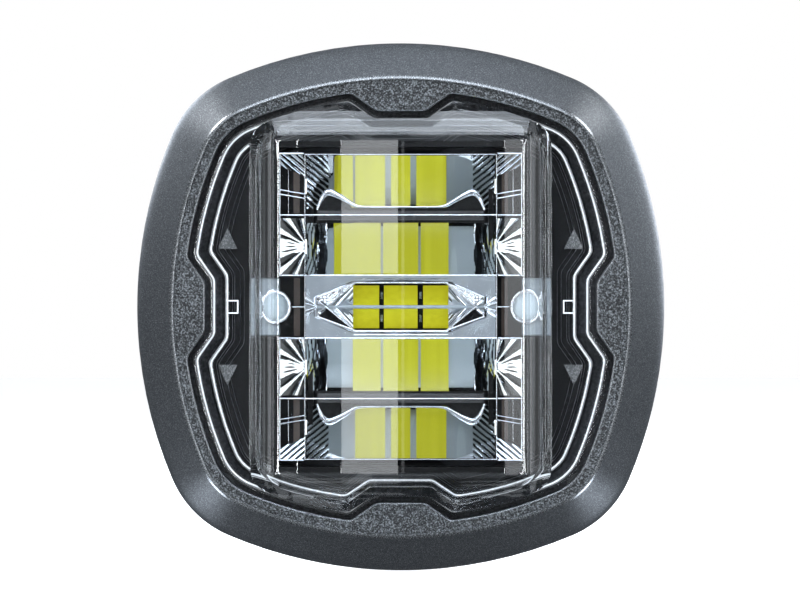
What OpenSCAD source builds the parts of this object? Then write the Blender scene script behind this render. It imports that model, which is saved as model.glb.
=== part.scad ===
// Flush-mounted LED lamp head: bezel, domed lens, mirror bank and finned rear housing.
// The front faces -Y, up is +Z, and the origin is the middle of the face that lies on the panel.
// Inside lamp() a part is drawn with X across, Y up and Z towards the viewer.

/* [Outline] */
// Width and height over the bezel
body_w = 95; // [94:0.5:97]
// Radius of each bowed side
side_r = 79.4; // [78:0.2:82]
// Radius of each corner
corner_r = 19.2; // [18.8:0.2:20]

/* [Bezel] */
// Height of the plateau above the panel
plateau_z = 11.85; // [11.5:0.05:12.5]
// Width of the sloped band around the plateau
slope_w = 7.1; // [6.8:0.1:7.3]
// Distance from the outer edge to the bezel's opening
open_inset = 8.75; // [8.6:0.05:9]
// Distance from the middle of the lamp to the inner edge of a tab
tab_x = 35; // [34.6:0.1:35.4]
// Half width of a tab at its inner edge
tab_half = 4.4; // [4:0.1:4.8]
// Slope of a tab's sides
tab_angle = 55; // [50:1:60]
// Wall of the bezel
bezel_t = 1.6; // [1.4:0.1:1.7]
// Radius of the four snap posts
post_r = 1.5; // [1.3:0.05:1.55]
// Radial clearance of a snap post in its bush
post_clear = 0.05; // [0.03:0.01:0.1]

/* [Lens] */
// Gap between the bezel and the lens
lens_gap = 0.7; // [0.6:0.05:0.8]
// Height of the front of the dome above the panel
dome_z = 25; // [24:0.5:27]
// Half width of the dome at its foot
dome_half = 27; // [26.6:0.1:27.2]
// Wall of the dome
dome_t = 1.6; // [1.4:0.1:1.7]

/* [Mirrors] */
// Distance between the middles of two mirror rows
row_pitch = 10.8; // [10.8:0.05:10.9]
// Half width of the middle mirror bank
bank_half = 17; // [16.9:0.1:17.1]
// Half width over the side mirrors
side_half = 21.66; // [21.5:0.02:21.8]
// Focal length of the mirror rows
focal = 3.5; // [3.4:0.05:3.6]
// Focal length of the side cups
cup_focal = 1.3; // [1.25:0.05:1.4]

/* [Panel mount] */
// Radius of the circle through the four mounting screws
mount_r = 40; // [39.8:0.1:40.2]
// Radius of a mounting hole, for an M4 screw
mount_hole_r = 2.25; // [2.15:0.05:2.3]
// Thickness of the gasket against the panel
gasket_t = 1.5; // [1.2:0.1:1.6]

/* [Housing] */
// Thickness of the mounting flange
flange_t = 3; // [3:0.1:3.2]
// Depth of the cup behind the panel
cup_depth = 26; // [26:0.5:30]
// Wall of the cup
cup_t = 2.5; // [2.3:0.1:2.6]
// Height of the cooling fins
fin_h = 8; // [6:0.5:9]
// Distance between two cooling fins
fin_pitch = 7; // [6.5:0.25:7.25]
// Radius of the cable bore in the gland
cable_r = 3.25; // [3:0.05:3.5]

/* [Hidden] */
$fn = 64;
eps = 0.01;
gap = 0.15;
fit_gap = 0.05;
over = 1;
far = 40;

half_w = body_w / 2;
side_c = side_r - half_w;
corner_a = acos(side_c / ((side_r - corner_r) * sqrt(2))) - 45;
corner_c = (side_r - corner_r) * sin(corner_a);
side_n = 3;
corner_n = 8;

bezel_foot = 0.3;
side_top = 2.2;
flare = [0.35, 3.4];
slope_foot = [1.2, 5];
crest_w = 0.8;
crest_in = 0.35;
crest_h = 0.3;
rim_cut = [0.2, 0.25];
rim_low = 7;
rim_t = 1.3;
shoulder = [0.8, 0.1];
neck_drop = 1.1;
post_at = 32.5;
post_bottom = 1.9;
post_top = 9;
bush_r = 2.3;
bush_collar_r = 2.7;
bush_collar_t = 0.6;

flange_z = gasket_t + flange_t;
flange_inset = 2.5;
gasket_in = 0.5;
gasket_gap = 0.4;
cup_inset = 14;
cavity_inset = cup_inset + cup_t;
lip_inset = 12;
lip_z = gasket_t + flange_t / 2;
floor_t = 3;
cup_z = -cup_depth;
floor_z = cup_z + floor_t;
ledge_inset = 19;
ledge_z = 1;
ledge_t = 4;
boss_r = 4;
boss_at = 22.6;
boss_hole_r = 1.3;
boss_hole_l = 9;
fin_n = 4;
fin_t = 2;
gland_well_r = 12;
vent_well_r = 8.5;
thread_gap = 0.1;
sink_base_t = 2;
sink_inset = cup_inset + 1;
sink_screw_at = [2.5 * fin_pitch, 26.5];
sink_screw_r = 1.5;
sink_hole_l = floor_t - 0.6;
sink_screw_l = floor_t - 0.8;
sink_head_r = 2.3;
sink_head_t = 1.6;

seal_t = 0.8;
lens_inset = open_inset + lens_gap;
lens_foot_z = flange_z + seal_t;
lens_skirt_t = 2.5;
flange_low_z = 6.5;
flange_top_z = 9.5;
rib_h = 0.8;
rib_w = 0.5;
rib_1 = lens_inset + 0.85;
rib_2 = lens_inset + 3.2;
key_l = 2;
key_w = 2.2;
facets = [[11, 0.6], [18.6, 1.4]];
roll_step = 15;
roll_x = 21.7;
roll_w = 5.3;
roll_h = 5;
roll_drop = 7;
end_y = 29;
end_r = 7.4;
end_foot = [36.6, 8];
end_low_y = 37;
corner_cut = [[4, 35], [1.6, 33.2], [0, 30]];

pad_t = 0.5;
spreader_z = ledge_z + pad_t;
spreader_t = 3;
spreader_top = spreader_z + spreader_t;
spreader_inset = cavity_inset + 0.4;
spreader_hole_r = 1.65;
spreader_head_r = 2.75;
spreader_head_t = 1.7;
spreader_pocket = 1.8;
spreader_screw_r = 1.25;
spreader_screw_l = 7;
wire_x = 12;
wire_r = 2;
groove_d = 1.3;

mirror_foot = spreader_top + 0.2;
mirror_top = 17;
cup_top = 15;
bank_top = 27.6;
blade_y = row_pitch * 1.5 + 0.1;
blade_t = 1.6;
blade_half = 14.8;
blade_top = 16.2;
cob_t = 0.5;
cob_depth = 4.6;
focus_z = 12.2;
focus_off = blade_t / 2 + cob_t;
row_split = row_pitch / 2 + 0.1;
bowl_x = 8.6;
bowl_half = 16.7;
wall_back = 2;
curve_n = 12;
back_n = 6;
back_in = 1.5;
bank_rim = 0.6;
row_gap = 0.25;
eye_x = 16;
eye_flat_x = 9;
eye_y = 4.3;
cup_reach = 7.5;
cup_back = 0.5;

wedge_half = 3.6;
wedge_long = 9.6;
center_y = 2.1;
center_z = 11.5;
center_board_t = 0.8;
center_pad_l = 4.9;
center_board_low = 1.2;
center_board_more = 1.5;
jumper_x = [-3.42, 3.5];
jumper_w = 0.4;
jumper_l = 1.8;
jumper_low = 0.8;
wedge_hole_x = 7;
wedge_hole_r = 1;
wedge_hole_l = 3;
wedge_z = center_z + center_y - (center_board_t + cob_t) * sqrt(2);

side_board_x = 15.7;
side_board_t = 0.9;
side_board_top = 10.4;
side_led_t = 0.6;
side_led_w = 2.6;
side_board_in = 0.5;
cup_x = 17.3;
cup_z_focus = 8.6;
ear_x = 22.7;
ear_out = 26.5;
ear_half = 5.2;
ear_corner = 1.8;
ear_t = 0.6;
screw_head_r = 3.2;
screw_head_t = 1;
screw_r = 1.5;

mask_z = 5;
mask_t = 1.2;
mask_inset = 12.3;
mask_wall_h = 8;
mask_wall_t = 1;
mask_slot_gap = 0.4;
groove_out = 14.4;
groove_in = 14.9;
mask_groove_d = 0.5;
window_gap = [0.5, 1];
arrow_x = 31.1;
arrow_half = 1.75;
arrow_low = 10.4;
arrow_high = 14.1;
arrow_t = 0.2;

board_z = -12;
board_t = 1.6;
board_top = board_z + board_t;
standoff_at = [14, 22];
standoff_r = 2.4;
standoff_hole_r = 1.05;
standoff_hole_l = 7;
board_hole_r = 1.3;
board_gap = 1;
board_clear = 0.6;
board_corner = [6, 8];
driver_screw_r = 1;
driver_head_r = 2;
driver_head_t = 1.4;
coil_x = [-8, 3];
coil_y = 2;
coil = [8, 8, 5];
coil_dimple = [2, 0.6];
can_x = [-19, -11, 13];
can_y = -9;
can_r = 3.1;
can_h = 8;
chip_x = [-22, -15, 14, 21];
chip_y = 8;
chip = [5, 4, 1.5];
block_at = [-5, -24];
block = [10, 7.5, 7];
block_hole_r = 1.3;
block_floor = 2;

gland_at = [0, -16];
gland_hex_r = 8.5;
gland_thread_r = 6;
gland_washer_t = 0.8;
gland_hex_t = 4.2;
gland_collar_l = 5;
gland_thread_in = 4;
gland_seat_r = 4.6;
gland_seal_r = 4.5;
locknut_t = 3.5;
nut_gap = 0.3;
nut_clear = 0.25;
nut_t = 5.5;
nut_step = 1.5;
nut_dome_r = 6.6;
nut_mouth_r = 5;
vent_at = [0, 16];
vent_r = 3.5;
vent_cap_r = 6;
vent_cord_r = 0.5;
vent_cap_t = 3.4;
vent_bore_r = 1.8;
vent_room_r = 2.6;
vent_room_z = 1.5;
vent_room_t = 1.6;
vent_port_r = 0.5;
vent_port_z = 2.4;
membrane_r = 2.5;
membrane_t = 0.3;

// ---------- frame and outline ----------

module lamp() {
    rotate([90, 0, 0]) children();
}

module raise(z) {
    translate([0, 0, z]) children();
}

module four_corners(at) {
    for (x = [-at, at], y = [-at, at]) translate([x, y, 0]) children();
}

function polar(r, a) = [r * cos(a), r * sin(a)];

function blend(a, b, t) = a + (b - a) * t;

function turn(p, a) = [p.x * cos(a) - p.y * sin(a), p.x * sin(a) + p.y * cos(a)];

function tab_edge(inset) = tab_x + open_inset - inset;

function tab_side(inset) = tab_half + (inset - open_inset) * tan((90 - tab_angle) / 2);

// The point where a tab's sloped side meets the bowed side of the lamp
function tab_foot(inset) =
    let (
        p = [tab_edge(inset), tab_side(inset)],
        u = polar(1, tab_angle),
        w = p + [side_c, 0],
        b = w * u
    )
    p + u * (sqrt(b * b - w * w + pow(side_r - inset, 2)) - b);

function on_side(inset, a) = polar(side_r - inset, a) - [side_c, 0];

// One side and the corner after it, counter-clockwise
function quarter(inset, tabs) =
    let (
        foot = tab_foot(inset),
        a = atan2(foot.y, foot.x + side_c)
    )
    concat(
        [for (i = [0 : side_n - 1]) on_side(inset, blend(-corner_a, -a, i / side_n))],
        tabs
            ? [
                [foot.x, -foot.y],
                [tab_edge(inset), -tab_side(inset)],
                [tab_edge(inset), 0],
                [tab_edge(inset), tab_side(inset)],
                foot
            ]
            : [for (k = [-1 : 0.5 : 1]) on_side(inset, a * k)],
        [for (i = [1 : side_n]) on_side(inset, blend(a, corner_a, i / side_n))],
        [
            for (i = [1 : corner_n - 1])
                polar(corner_r - inset, blend(corner_a, 90 - corner_a, i / corner_n))
                    + [corner_c, corner_c]
        ]
    );

function outline(inset, tabs = false) =
    [for (k = [0 : 3], p = quarter(inset, tabs)) turn(p, 90 * k)];

module slab(inset, low, high, tabs = false) {
    raise(low) linear_extrude(high - low) polygon(outline(inset, tabs));
}

module band(outer, inner, low, high, tabs = false) {
    raise(low) linear_extrude(high - low) difference() {
        polygon(outline(outer, tabs));
        polygon(outline(inner, tabs));
    }
}

// A closed ring whose section runs through [inset, height, with tabs] in order
module ring_loft(section) {
    n = len(outline(0));
    m = len(section);
    points = [for (s = section, p = outline(s[0], s[2])) [p.x, p.y, s[1]]];
    faces = [
        for (j = [0 : m - 1], i = [0 : n - 1])
            let (
                a = j * n + i,
                b = j * n + (i + 1) % n,
                c = ((j + 1) % m) * n + (i + 1) % n,
                d = ((j + 1) % m) * n + i
            )
            each [[a, c, b], [a, d, c]]
    ];
    polyhedron(points, faces);
}

// ---------- bezel and mounting ----------

// The section climbs the outside, crosses the plateau and returns along the inside
bezel_section = [
    [0, bezel_foot, false],
    [0, side_top, false],
    [flare.x, flare.y, false],
    [slope_foot.x, slope_foot.y, false],
    [slope_w - crest_w, plateau_z, false],
    [slope_w - crest_in, plateau_z + crest_h, false],
    [slope_w, plateau_z, false],
    [open_inset - rim_cut.x, plateau_z, true],
    [open_inset, plateau_z - rim_cut.y, true],
    [open_inset, rim_low, true],
    [open_inset - rim_t, rim_low, true],
    [open_inset - rim_t, plateau_z - bezel_t, true],
    [slope_w, plateau_z - bezel_t, false],
    [bezel_t + shoulder.x, flange_z + shoulder.y, false],
    [bezel_t, flange_z - neck_drop, false],
    [bezel_t, bezel_foot, false]
];

module bezel() {
    lamp() color("#34383d") union() {
        ring_loft(bezel_section);
        four_corners(post_at) raise(post_bottom) cylinder(r = post_r, h = post_top - post_bottom);
    }
}

module bush() {
    difference() {
        union() {
            raise(gasket_t) cylinder(r = bush_r, h = flange_t);
            raise(flange_z) cylinder(r = bush_collar_r, h = bush_collar_t);
        }
        raise(gasket_t - eps) cylinder(r = post_r + post_clear, h = flange_t + over);
    }
}

module bezel_bushes() {
    lamp() color("ivory") four_corners(post_at) bush();
}

module mount_holes() {
    for (a = [0 : 90 : 270])
        translate([mount_r * cos(a), mount_r * sin(a), -eps])
            cylinder(r = mount_hole_r, h = flange_z + over);
}

module mount_gasket() {
    lamp() color("#1c1c1c") difference() {
        band(flange_inset + gasket_in, cup_inset - gasket_gap, 0, gasket_t);
        mount_holes();
    }
}

// ---------- rear housing ----------

module mount_flange() {
    lamp() color("#2b2e32") difference() {
        band(flange_inset, cup_inset - fit_gap, gasket_t, flange_z);
        slab(lip_inset - fit_gap, lip_z, flange_z + over);
        mount_holes();
        four_corners(post_at) raise(gasket_t - eps) cylinder(r = bush_r, h = flange_t + over);
    }
}

module at_standoffs() {
    for (x = [-standoff_at.x, standoff_at.x], y = [-standoff_at.y, standoff_at.y])
        translate([x, y, 0]) children();
}

module at_sink_screws() {
    for (x = [-sink_screw_at.x, sink_screw_at.x], y = [-sink_screw_at.y, sink_screw_at.y])
        translate([x, y, cup_z]) children();
}

module cup_shell() {
    slab(cup_inset, cup_z, flange_z);
    slab(lip_inset, lip_z + fit_gap, flange_z);
}

// The ledge for the heat spreader, the corner bosses under it and the board's standoffs
module cup_supports() {
    difference() {
        slab(cavity_inset - eps, ledge_z - ledge_t, ledge_z);
        slab(ledge_inset, ledge_z - ledge_t - eps, ledge_z + eps);
    }
    intersection() {
        slab(cavity_inset - eps, floor_z - eps, ledge_z);
        union() {
            four_corners(boss_at) raise(floor_z - eps) cylinder(r = boss_r, h = ledge_z - floor_z + eps);
            at_standoffs() raise(floor_z - eps) cylinder(r = standoff_r, h = board_z - floor_z + eps);
        }
    }
}

module through_floor(at, r) {
    translate([at.x, at.y, cup_z - over]) cylinder(r = r, h = floor_t + 2 * over);
}

module rear_cup() {
    lamp() color("#3b3f44") difference() {
        union() {
            difference() {
                cup_shell();
                slab(cavity_inset, floor_z, flange_z + over);
            }
            cup_supports();
        }
        four_corners(boss_at) raise(ledge_z - boss_hole_l) cylinder(r = boss_hole_r, h = boss_hole_l + over);
        at_standoffs() raise(board_z - standoff_hole_l) cylinder(r = standoff_hole_r, h = standoff_hole_l + over);
        at_sink_screws() raise(-over) cylinder(r = sink_screw_r + fit_gap, h = sink_hole_l + over);
        through_floor(gland_at, gland_thread_r + thread_gap);
        through_floor(vent_at, vent_r + thread_gap);
    }
}

module through_sink(at, r) {
    translate([at.x, at.y, cup_z - fin_h - over]) cylinder(r = r, h = fin_h + 2 * over);
}

module heat_sink() {
    lamp() color("#3b3f44") difference() {
        union() {
            slab(sink_inset, cup_z - sink_base_t, cup_z);
            intersection() {
                slab(sink_inset, cup_z - fin_h, cup_z);
                for (k = [-fin_n : fin_n])
                    translate([k * fin_pitch - fin_t / 2, -half_w, cup_z - fin_h])
                        cube([fin_t, body_w, fin_h]);
            }
        }
        through_sink(gland_at, gland_well_r);
        through_sink(vent_at, vent_well_r);
        at_sink_screws() raise(-sink_base_t - over)
            cylinder(r = sink_screw_r + thread_gap, h = sink_base_t + 2 * over);
    }
}

module heat_sink_screws() {
    lamp() color("silver") at_sink_screws() {
        raise(-sink_base_t - eps) cylinder(r = sink_screw_r, h = sink_base_t + sink_screw_l);
        raise(-sink_base_t - sink_head_t) cylinder(r = sink_head_r, h = sink_head_t);
    }
}

// ---------- lens ----------

// Half of the dome's front, seen from above: shallow facets, then a rolled side
function dome_front(inner) = [
    [0, dome_z - inner],
    for (f = facets) [f.x, dome_z - f.y - inner],
    for (a = [0 : roll_step : 90 - roll_step]) [
        roll_x + (roll_w - inner) * sin(a),
        dome_z - roll_drop - inner + (roll_h + inner / 2) * cos(a)
    ],
    [dome_half - inner, flange_low_z - over]
];

function mirror_points(list) =
    concat(list, [for (i = [len(list) - 1 : -1 : 1]) [-list[i].x, list[i].y]]);

// The side view: a flat front with a rolled top and bottom
function dome_side(inner) = [
    [0, dome_z + over - inner],
    [end_y, dome_z + over - inner],
    [end_y, dome_z - inner],
    for (a = [roll_step : roll_step : 90 - roll_step])
        [end_y + (end_r - inner) * sin(a), dome_z - end_r + (end_r - inner) * cos(a)],
    [end_foot.x - inner, dome_z - end_foot.y],
    [end_low_y - inner, flange_low_z - over]
];

module dome_plan(inner) {
    side = dome_half - inner;
    last = len(corner_cut) - 1;
    intersection() {
        polygon(outline(rib_1 + inner, true));
        polygon(mirror_points([
            [0, half_w],
            [side - corner_cut[0].x, half_w],
            for (c = corner_cut) [side - c.x, c.y - inner],
            for (i = [last : -1 : 0]) [side - corner_cut[i].x, inner - corner_cut[i].y],
            [side - corner_cut[0].x, -half_w],
            [0, -half_w]
        ]));
    }
}

module dome_body(inner, low) {
    intersection() {
        raise(low) linear_extrude(dome_z) dome_plan(inner);
        rotate([90, 0, 0]) raise(-half_w) linear_extrude(body_w)
            polygon(mirror_points(dome_front(inner)));
        rotate([0, 90, 0]) raise(-half_w) linear_extrude(body_w)
            polygon([for (p = mirror_points(dome_side(inner))) [-p.y, p.x]]);
    }
}

// A U-shaped key on the inner rib in the middle of each side
module lens_keys() {
    for (a = [0 : 90 : 270])
        rotate(a)
            translate([tab_edge(rib_2) - key_l, -key_w / 2, flange_top_z - eps])
                cube([key_l, key_w, rib_h]);
}

module lens() {
    lamp() color("lightblue", 0.35) difference() {
        union() {
            slab(lens_inset, flange_low_z, flange_top_z, true);
            band(lens_inset, lens_inset + lens_skirt_t, lens_foot_z, flange_low_z + eps, true);
            band(rib_1 - rib_w / 2, rib_1 + rib_w / 2, flange_top_z - eps, flange_top_z + rib_h, true);
            band(rib_2 - rib_w / 2, rib_2 + rib_w / 2, flange_top_z - eps, flange_top_z + rib_h, true);
            lens_keys();
            dome_body(0, flange_low_z);
        }
        dome_body(dome_t, flange_low_z - over);
    }
}

module lens_seal() {
    lamp() color("#202020")
        band(lens_inset + gap, lens_inset + lens_skirt_t - gap, flange_z, lens_foot_z, true);
}

// ---------- inner mask ----------

module arrow() {
    polygon([[-arrow_half, arrow_low], [arrow_half, arrow_low], [0, arrow_high]]);
}

// A plate from the side mirror outwards with two rounded corners
module ear_plate(grow) {
    out = ear_out + grow;
    half = ear_half + grow;
    in = side_half - over;
    translate([in, -half]) square([out - ear_corner - in, 2 * half]);
    translate([in, -half + ear_corner]) square([out - in, 2 * (half - ear_corner)]);
    for (y = [-half + ear_corner, half - ear_corner])
        translate([out - ear_corner, y]) circle(r = ear_corner);
}

module mask_window(grow) {
    half = [side_half + window_gap.x + grow, bank_top + window_gap.y + grow];
    translate(-half) square(2 * half);
}

module inner_mask() {
    lamp() color("#101214") difference() {
        union() {
            slab(mask_inset, mask_z, mask_z + mask_t, true);
            raise(mask_z + mask_t - eps) linear_extrude(mask_wall_h) mask_window(mask_wall_t);
            for (x = [-arrow_x, arrow_x], m = [0, 1])
                translate([x, 0, mask_z + mask_t - eps])
                    mirror([0, m, 0]) linear_extrude(arrow_t) arrow();
        }
        raise(mask_z - over) linear_extrude(far) mask_window(0);
        raise(mask_z + mask_t - mask_groove_d) linear_extrude(over) difference() {
            polygon(outline(groove_out, true));
            polygon(outline(groove_in, true));
            mask_window(mask_wall_t + over);
        }
        for (m = [0, 1]) mirror([m, 0, 0])
            raise(mask_z - over) linear_extrude(far) ear_plate(mask_slot_gap);
    }
}

// ---------- mirrors ----------

function parabola(f, rho) = rho * rho / (4 * f) - f;

// The space in front of a mirror curve: distance from the axis across, height up
function mirror_space(f, reach, top) = concat(
    [for (i = [0 : curve_n]) let (rho = reach * i / curve_n) [rho, parabola(f, rho)]],
    [[reach, top], [0, top]]
);

// One half row: a trough in front of the light bars with a bowl at each end
module half_row(reach) {
    top = mirror_top + over - focus_z;
    depth = sqrt(4 * focal * (top + focal));
    intersection() {
        translate([-bowl_half, -cob_t, focus_z - focal - over])
            cube([2 * bowl_half, reach + cob_t, mirror_top]);
        raise(focus_z) union() {
            translate([-bowl_x, 0, 0]) rotate([90, 0, 90]) linear_extrude(2 * bowl_x)
                polygon(mirror_points(mirror_space(focal, depth, top)));
            for (x = [-bowl_x, bowl_x])
                translate([x, 0, 0]) rotate_extrude() polygon(mirror_space(focal, depth, top));
        }
    }
}

// The hollow behind a half row
module half_row_back(reach) {
    rotate([90, 0, 90]) raise(over - blade_half) linear_extrude(2 * (blade_half - over))
        polygon(concat(
            [[back_in, -focus_z], [reach - over, -focus_z]],
            [
                for (i = [back_n : -1 : 0])
                    let (y = blend(back_in, reach - over, i / back_n))
                    [y, parabola(focal, y) - wall_back]
            ]
        ));
}

// Places a half row above and below each blade board
module at_half_rows() {
    for (m = [0, 1]) mirror([0, m, 0]) {
        translate([0, blade_y + focus_off, 0]) children(0);
        translate([0, blade_y - focus_off, 0]) mirror([0, 1, 0]) children(1);
    }
}

upper_reach = bank_top - bank_rim - blade_y - focus_off;
lower_reach = blade_y - focus_off - row_split - row_gap;

module reflector_center() {
    lamp() color("#c9d2d8") difference() {
        translate([-bank_half, -bank_top, mirror_foot])
            cube([2 * bank_half, 2 * bank_top, mirror_top - mirror_foot]);
        at_half_rows() {
            half_row(upper_reach);
            half_row(lower_reach);
        }
        at_half_rows() {
            raise(focus_z) half_row_back(upper_reach);
            raise(focus_z) half_row_back(lower_reach);
        }
        for (m = [0, 1]) mirror([0, m, 0])
            translate([-blade_half - gap, blade_y - blade_t / 2 - gap, 0])
                cube([2 * (blade_half + gap), blade_t + 2 * gap, mirror_top + over]);
        raise(mirror_foot - over) linear_extrude(mirror_top) polygon([
            [-eye_x, 0],
            [-eye_flat_x, -eye_y],
            [eye_flat_x, -eye_y],
            [eye_x, 0],
            [eye_flat_x, eye_y],
            [-eye_flat_x, eye_y]
        ]);
        for (m = [0, 1]) mirror([m, 0, 0])
            translate([side_board_x - 2 * gap, -bank_top - over, mirror_foot - over])
                cube([bank_half, 2 * (bank_top + over), side_board_top + 2 * gap - mirror_foot + over]);
    }
}

cup_rows = [-2 * row_pitch, -row_pitch, row_pitch, 2 * row_pitch];

module side_cup() {
    width = row_pitch - 4 * gap;
    intersection() {
        translate([-over, -width / 2, -cup_focal - over]) cube([cup_reach, width, far]);
        rotate_extrude() polygon(mirror_space(cup_focal, cup_reach, parabola(cup_focal, cup_reach)));
    }
}

module side_reflector() {
    difference() {
        union() {
            translate([cup_x, -bank_top, mirror_foot])
                cube([side_half - cup_x, 2 * bank_top, cup_top - mirror_foot]);
            raise(mirror_foot) linear_extrude(ear_t) ear_plate(0);
        }
        for (y = cup_rows) translate([cup_x - cup_back, y, cup_z_focus]) side_cup();
        translate([ear_x, 0, 0]) cylinder(r = screw_r + thread_gap, h = far);
        translate([cup_x - over, -ear_half, mirror_foot + ear_t]) cube([side_half, 2 * ear_half, cup_top]);
    }
}

module reflector_right() {
    lamp() color("#c9d2d8") side_reflector();
}

module reflector_left() {
    lamp() color("#c9d2d8") mirror([1, 0, 0]) side_reflector();
}

module reflector_screws() {
    lamp() color("#aeb9c2") for (x = [-ear_x, ear_x]) translate([x, 0, 0]) {
        raise(spreader_z + 2 * gap) cylinder(r = screw_r, h = mirror_foot + ear_t - spreader_z);
        raise(mirror_foot + ear_t) cylinder(r = screw_head_r, h = screw_head_t);
    }
}

// ---------- light engine ----------

module heat_spreader() {
    lamp() color("#b8bcc0") difference() {
        slab(spreader_inset, spreader_z, spreader_top);
        for (m = [0, 1]) mirror([0, m, 0])
            translate([-blade_half - fit_gap, blade_y - blade_t / 2 - fit_gap, spreader_top - groove_d])
                cube([2 * (blade_half + fit_gap), blade_t + 2 * fit_gap, groove_d + over]);
        four_corners(boss_at) raise(spreader_z - over) cylinder(r = spreader_hole_r, h = far);
        four_corners(boss_at) raise(spreader_top - spreader_pocket) cylinder(r = spreader_head_r + gap, h = far);
        for (x = [-ear_x, ear_x]) translate([x, 0, spreader_z - over]) cylinder(r = screw_r + fit_gap, h = far);
        for (x = [-wire_x, wire_x]) translate([x, 0, spreader_z - over]) cylinder(r = wire_r, h = far);
    }
}

module spreader_screws() {
    lamp() color("silver") four_corners(boss_at) {
        raise(spreader_top - spreader_pocket) cylinder(r = spreader_head_r, h = spreader_head_t);
        raise(spreader_z - spreader_screw_l)
            cylinder(r = spreader_screw_r, h = spreader_screw_l + spreader_t - spreader_pocket + eps);
    }
}

module thermal_pads() {
    lamp() color("#7c8a94") difference() {
        band(spreader_inset, ledge_inset, ledge_z, spreader_z);
        four_corners(boss_at) cylinder(r = spreader_hole_r, h = far);
    }
}

module blade_board(y) {
    translate([-blade_half, y - blade_t / 2, spreader_top - groove_d])
        cube([2 * blade_half, blade_t, blade_top - spreader_top + groove_d]);
}

module blade_board_upper() {
    lamp() color("#1b1e22") blade_board(blade_y);
}

module blade_board_lower() {
    lamp() color("#1b1e22") blade_board(-blade_y);
}

// Light bars as [middle, width]; the outer face and the inner face of a blade differ
outer_bars = [[-5.5, 5.4], [0, 3.45], [5.5, 5.4]];
inner_bars = [[-6.1, 5], [0, 6.3], [6.1, 5]];
center_bars = [[-6.3, 4.9], [0, 6], [6.4, 4.8]];

module bars(list) {
    for (b = list)
        translate([b[0] - b[1] / 2, 0, focus_z - cob_depth / 2]) cube([b[1], cob_t, cob_depth]);
}

module blade_phosphors() {
    lamp() color("#c8d43a") for (m = [0, 1]) mirror([0, m, 0]) {
        translate([0, blade_y + blade_t / 2, 0]) bars(outer_bars);
        translate([0, blade_y - blade_t / 2 - cob_t, 0]) bars(inner_bars);
    }
}

module center_wedge() {
    lamp() color("#9aa1a8") difference() {
        rotate([90, 0, 90]) raise(-wedge_long) linear_extrude(2 * wedge_long) polygon([
            [-wedge_half, spreader_top],
            [wedge_half, spreader_top],
            [wedge_half, wedge_z - wedge_half],
            [0, wedge_z],
            [-wedge_half, wedge_z - wedge_half]
        ]);
        for (x = [-wedge_hole_x, wedge_hole_x])
            translate([x, 0, spreader_top - over]) cylinder(r = wedge_hole_r, h = wedge_hole_l + over);
    }
}

// Places a flat piece on the upper and the lower slope of the wedge
module on_slopes() {
    for (m = [0, 1]) mirror([0, m, 0]) intersection() {
        translate([0, center_y, center_z]) rotate([-45, 0, 0]) children();
        translate([-half_w, fit_gap, 0]) cube([body_w, half_w, half_w]);
    }
}

module center_boards() {
    lamp() color("#1b1e22") on_slopes()
        translate([-wedge_long, -center_pad_l / 2 - center_board_low, -cob_t - center_board_t])
            cube([2 * wedge_long, center_pad_l + center_board_more, center_board_t]);
}

module center_phosphors() {
    lamp() color("#c8d43a") on_slopes() for (b = center_bars)
        translate([b[0] - b[1] / 2, -center_pad_l / 2, -cob_t]) cube([b[1], center_pad_l, cob_t]);
}

// Small plated links between the light bars of the wedge
module center_jumpers() {
    lamp() color("#8d959c") on_slopes() for (x = jumper_x)
        translate([x - jumper_w / 2, -jumper_low, -cob_t]) cube([jumper_w, jumper_l, cob_t - gap]);
}

module side_board() {
    half = bank_top - side_board_in;
    translate([side_board_x, -half, mirror_foot]) cube([side_board_t, 2 * half, side_board_top - mirror_foot]);
}

module side_board_right() {
    lamp() color("#1b1e22") side_board();
}

module side_board_left() {
    lamp() color("#1b1e22") mirror([1, 0, 0]) side_board();
}

module side_leds() {
    lamp() color("#f2f4ea") for (m = [0, 1], y = cup_rows) mirror([m, 0, 0])
        translate([side_board_x + side_board_t, y - side_led_w / 2, cup_z_focus - side_led_w / 2])
            cube([side_led_t, side_led_w, side_led_w]);
}

// ---------- driver ----------

module driver_board() {
    lamp() color("#1f5a3a") difference() {
        slab(cavity_inset + board_gap, board_z, board_top);
        four_corners(boss_at) raise(board_z - over) cylinder(r = boss_r + board_clear, h = far);
        four_corners(boss_at + board_corner[0]) raise(board_z - over) cylinder(r = board_corner[1], h = far);
        at_standoffs() raise(board_z - over) cylinder(r = board_hole_r, h = far);
    }
}

module driver_screws() {
    lamp() color("silver") at_standoffs() {
        raise(board_top) cylinder(r = driver_head_r, h = driver_head_t);
        raise(board_top - standoff_hole_l) cylinder(r = driver_screw_r, h = standoff_hole_l + eps);
    }
}

module inductors() {
    lamp() color("#45484c") for (x = coil_x)
        translate([x, coil_y, board_top]) difference() {
            cube(coil);
            translate([coil.x / 2, coil.y / 2, coil.z - coil_dimple[1]]) cylinder(r = coil_dimple[0], h = over);
        }
}

module capacitors() {
    lamp() color("#2c3560") for (x = can_x)
        translate([x, can_y, board_top]) cylinder(r = can_r, h = can_h);
}

module driver_chips() {
    lamp() color("#161616") for (x = chip_x)
        translate([x - chip.x / 2, chip_y, board_top]) cube(chip);
}

module terminal_block() {
    lamp() color("#e8e8e4") translate([block_at.x, block_at.y, board_top]) difference() {
        cube(block);
        for (k = [1, 3]) translate([block.x * k / 4, block.y / 2, block_floor]) cylinder(r = block_hole_r, h = far);
    }
}

// ---------- cable gland and breather ----------

module at_gland() {
    lamp() translate([gland_at.x, gland_at.y, cup_z]) mirror([0, 0, 1]) children();
}

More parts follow.
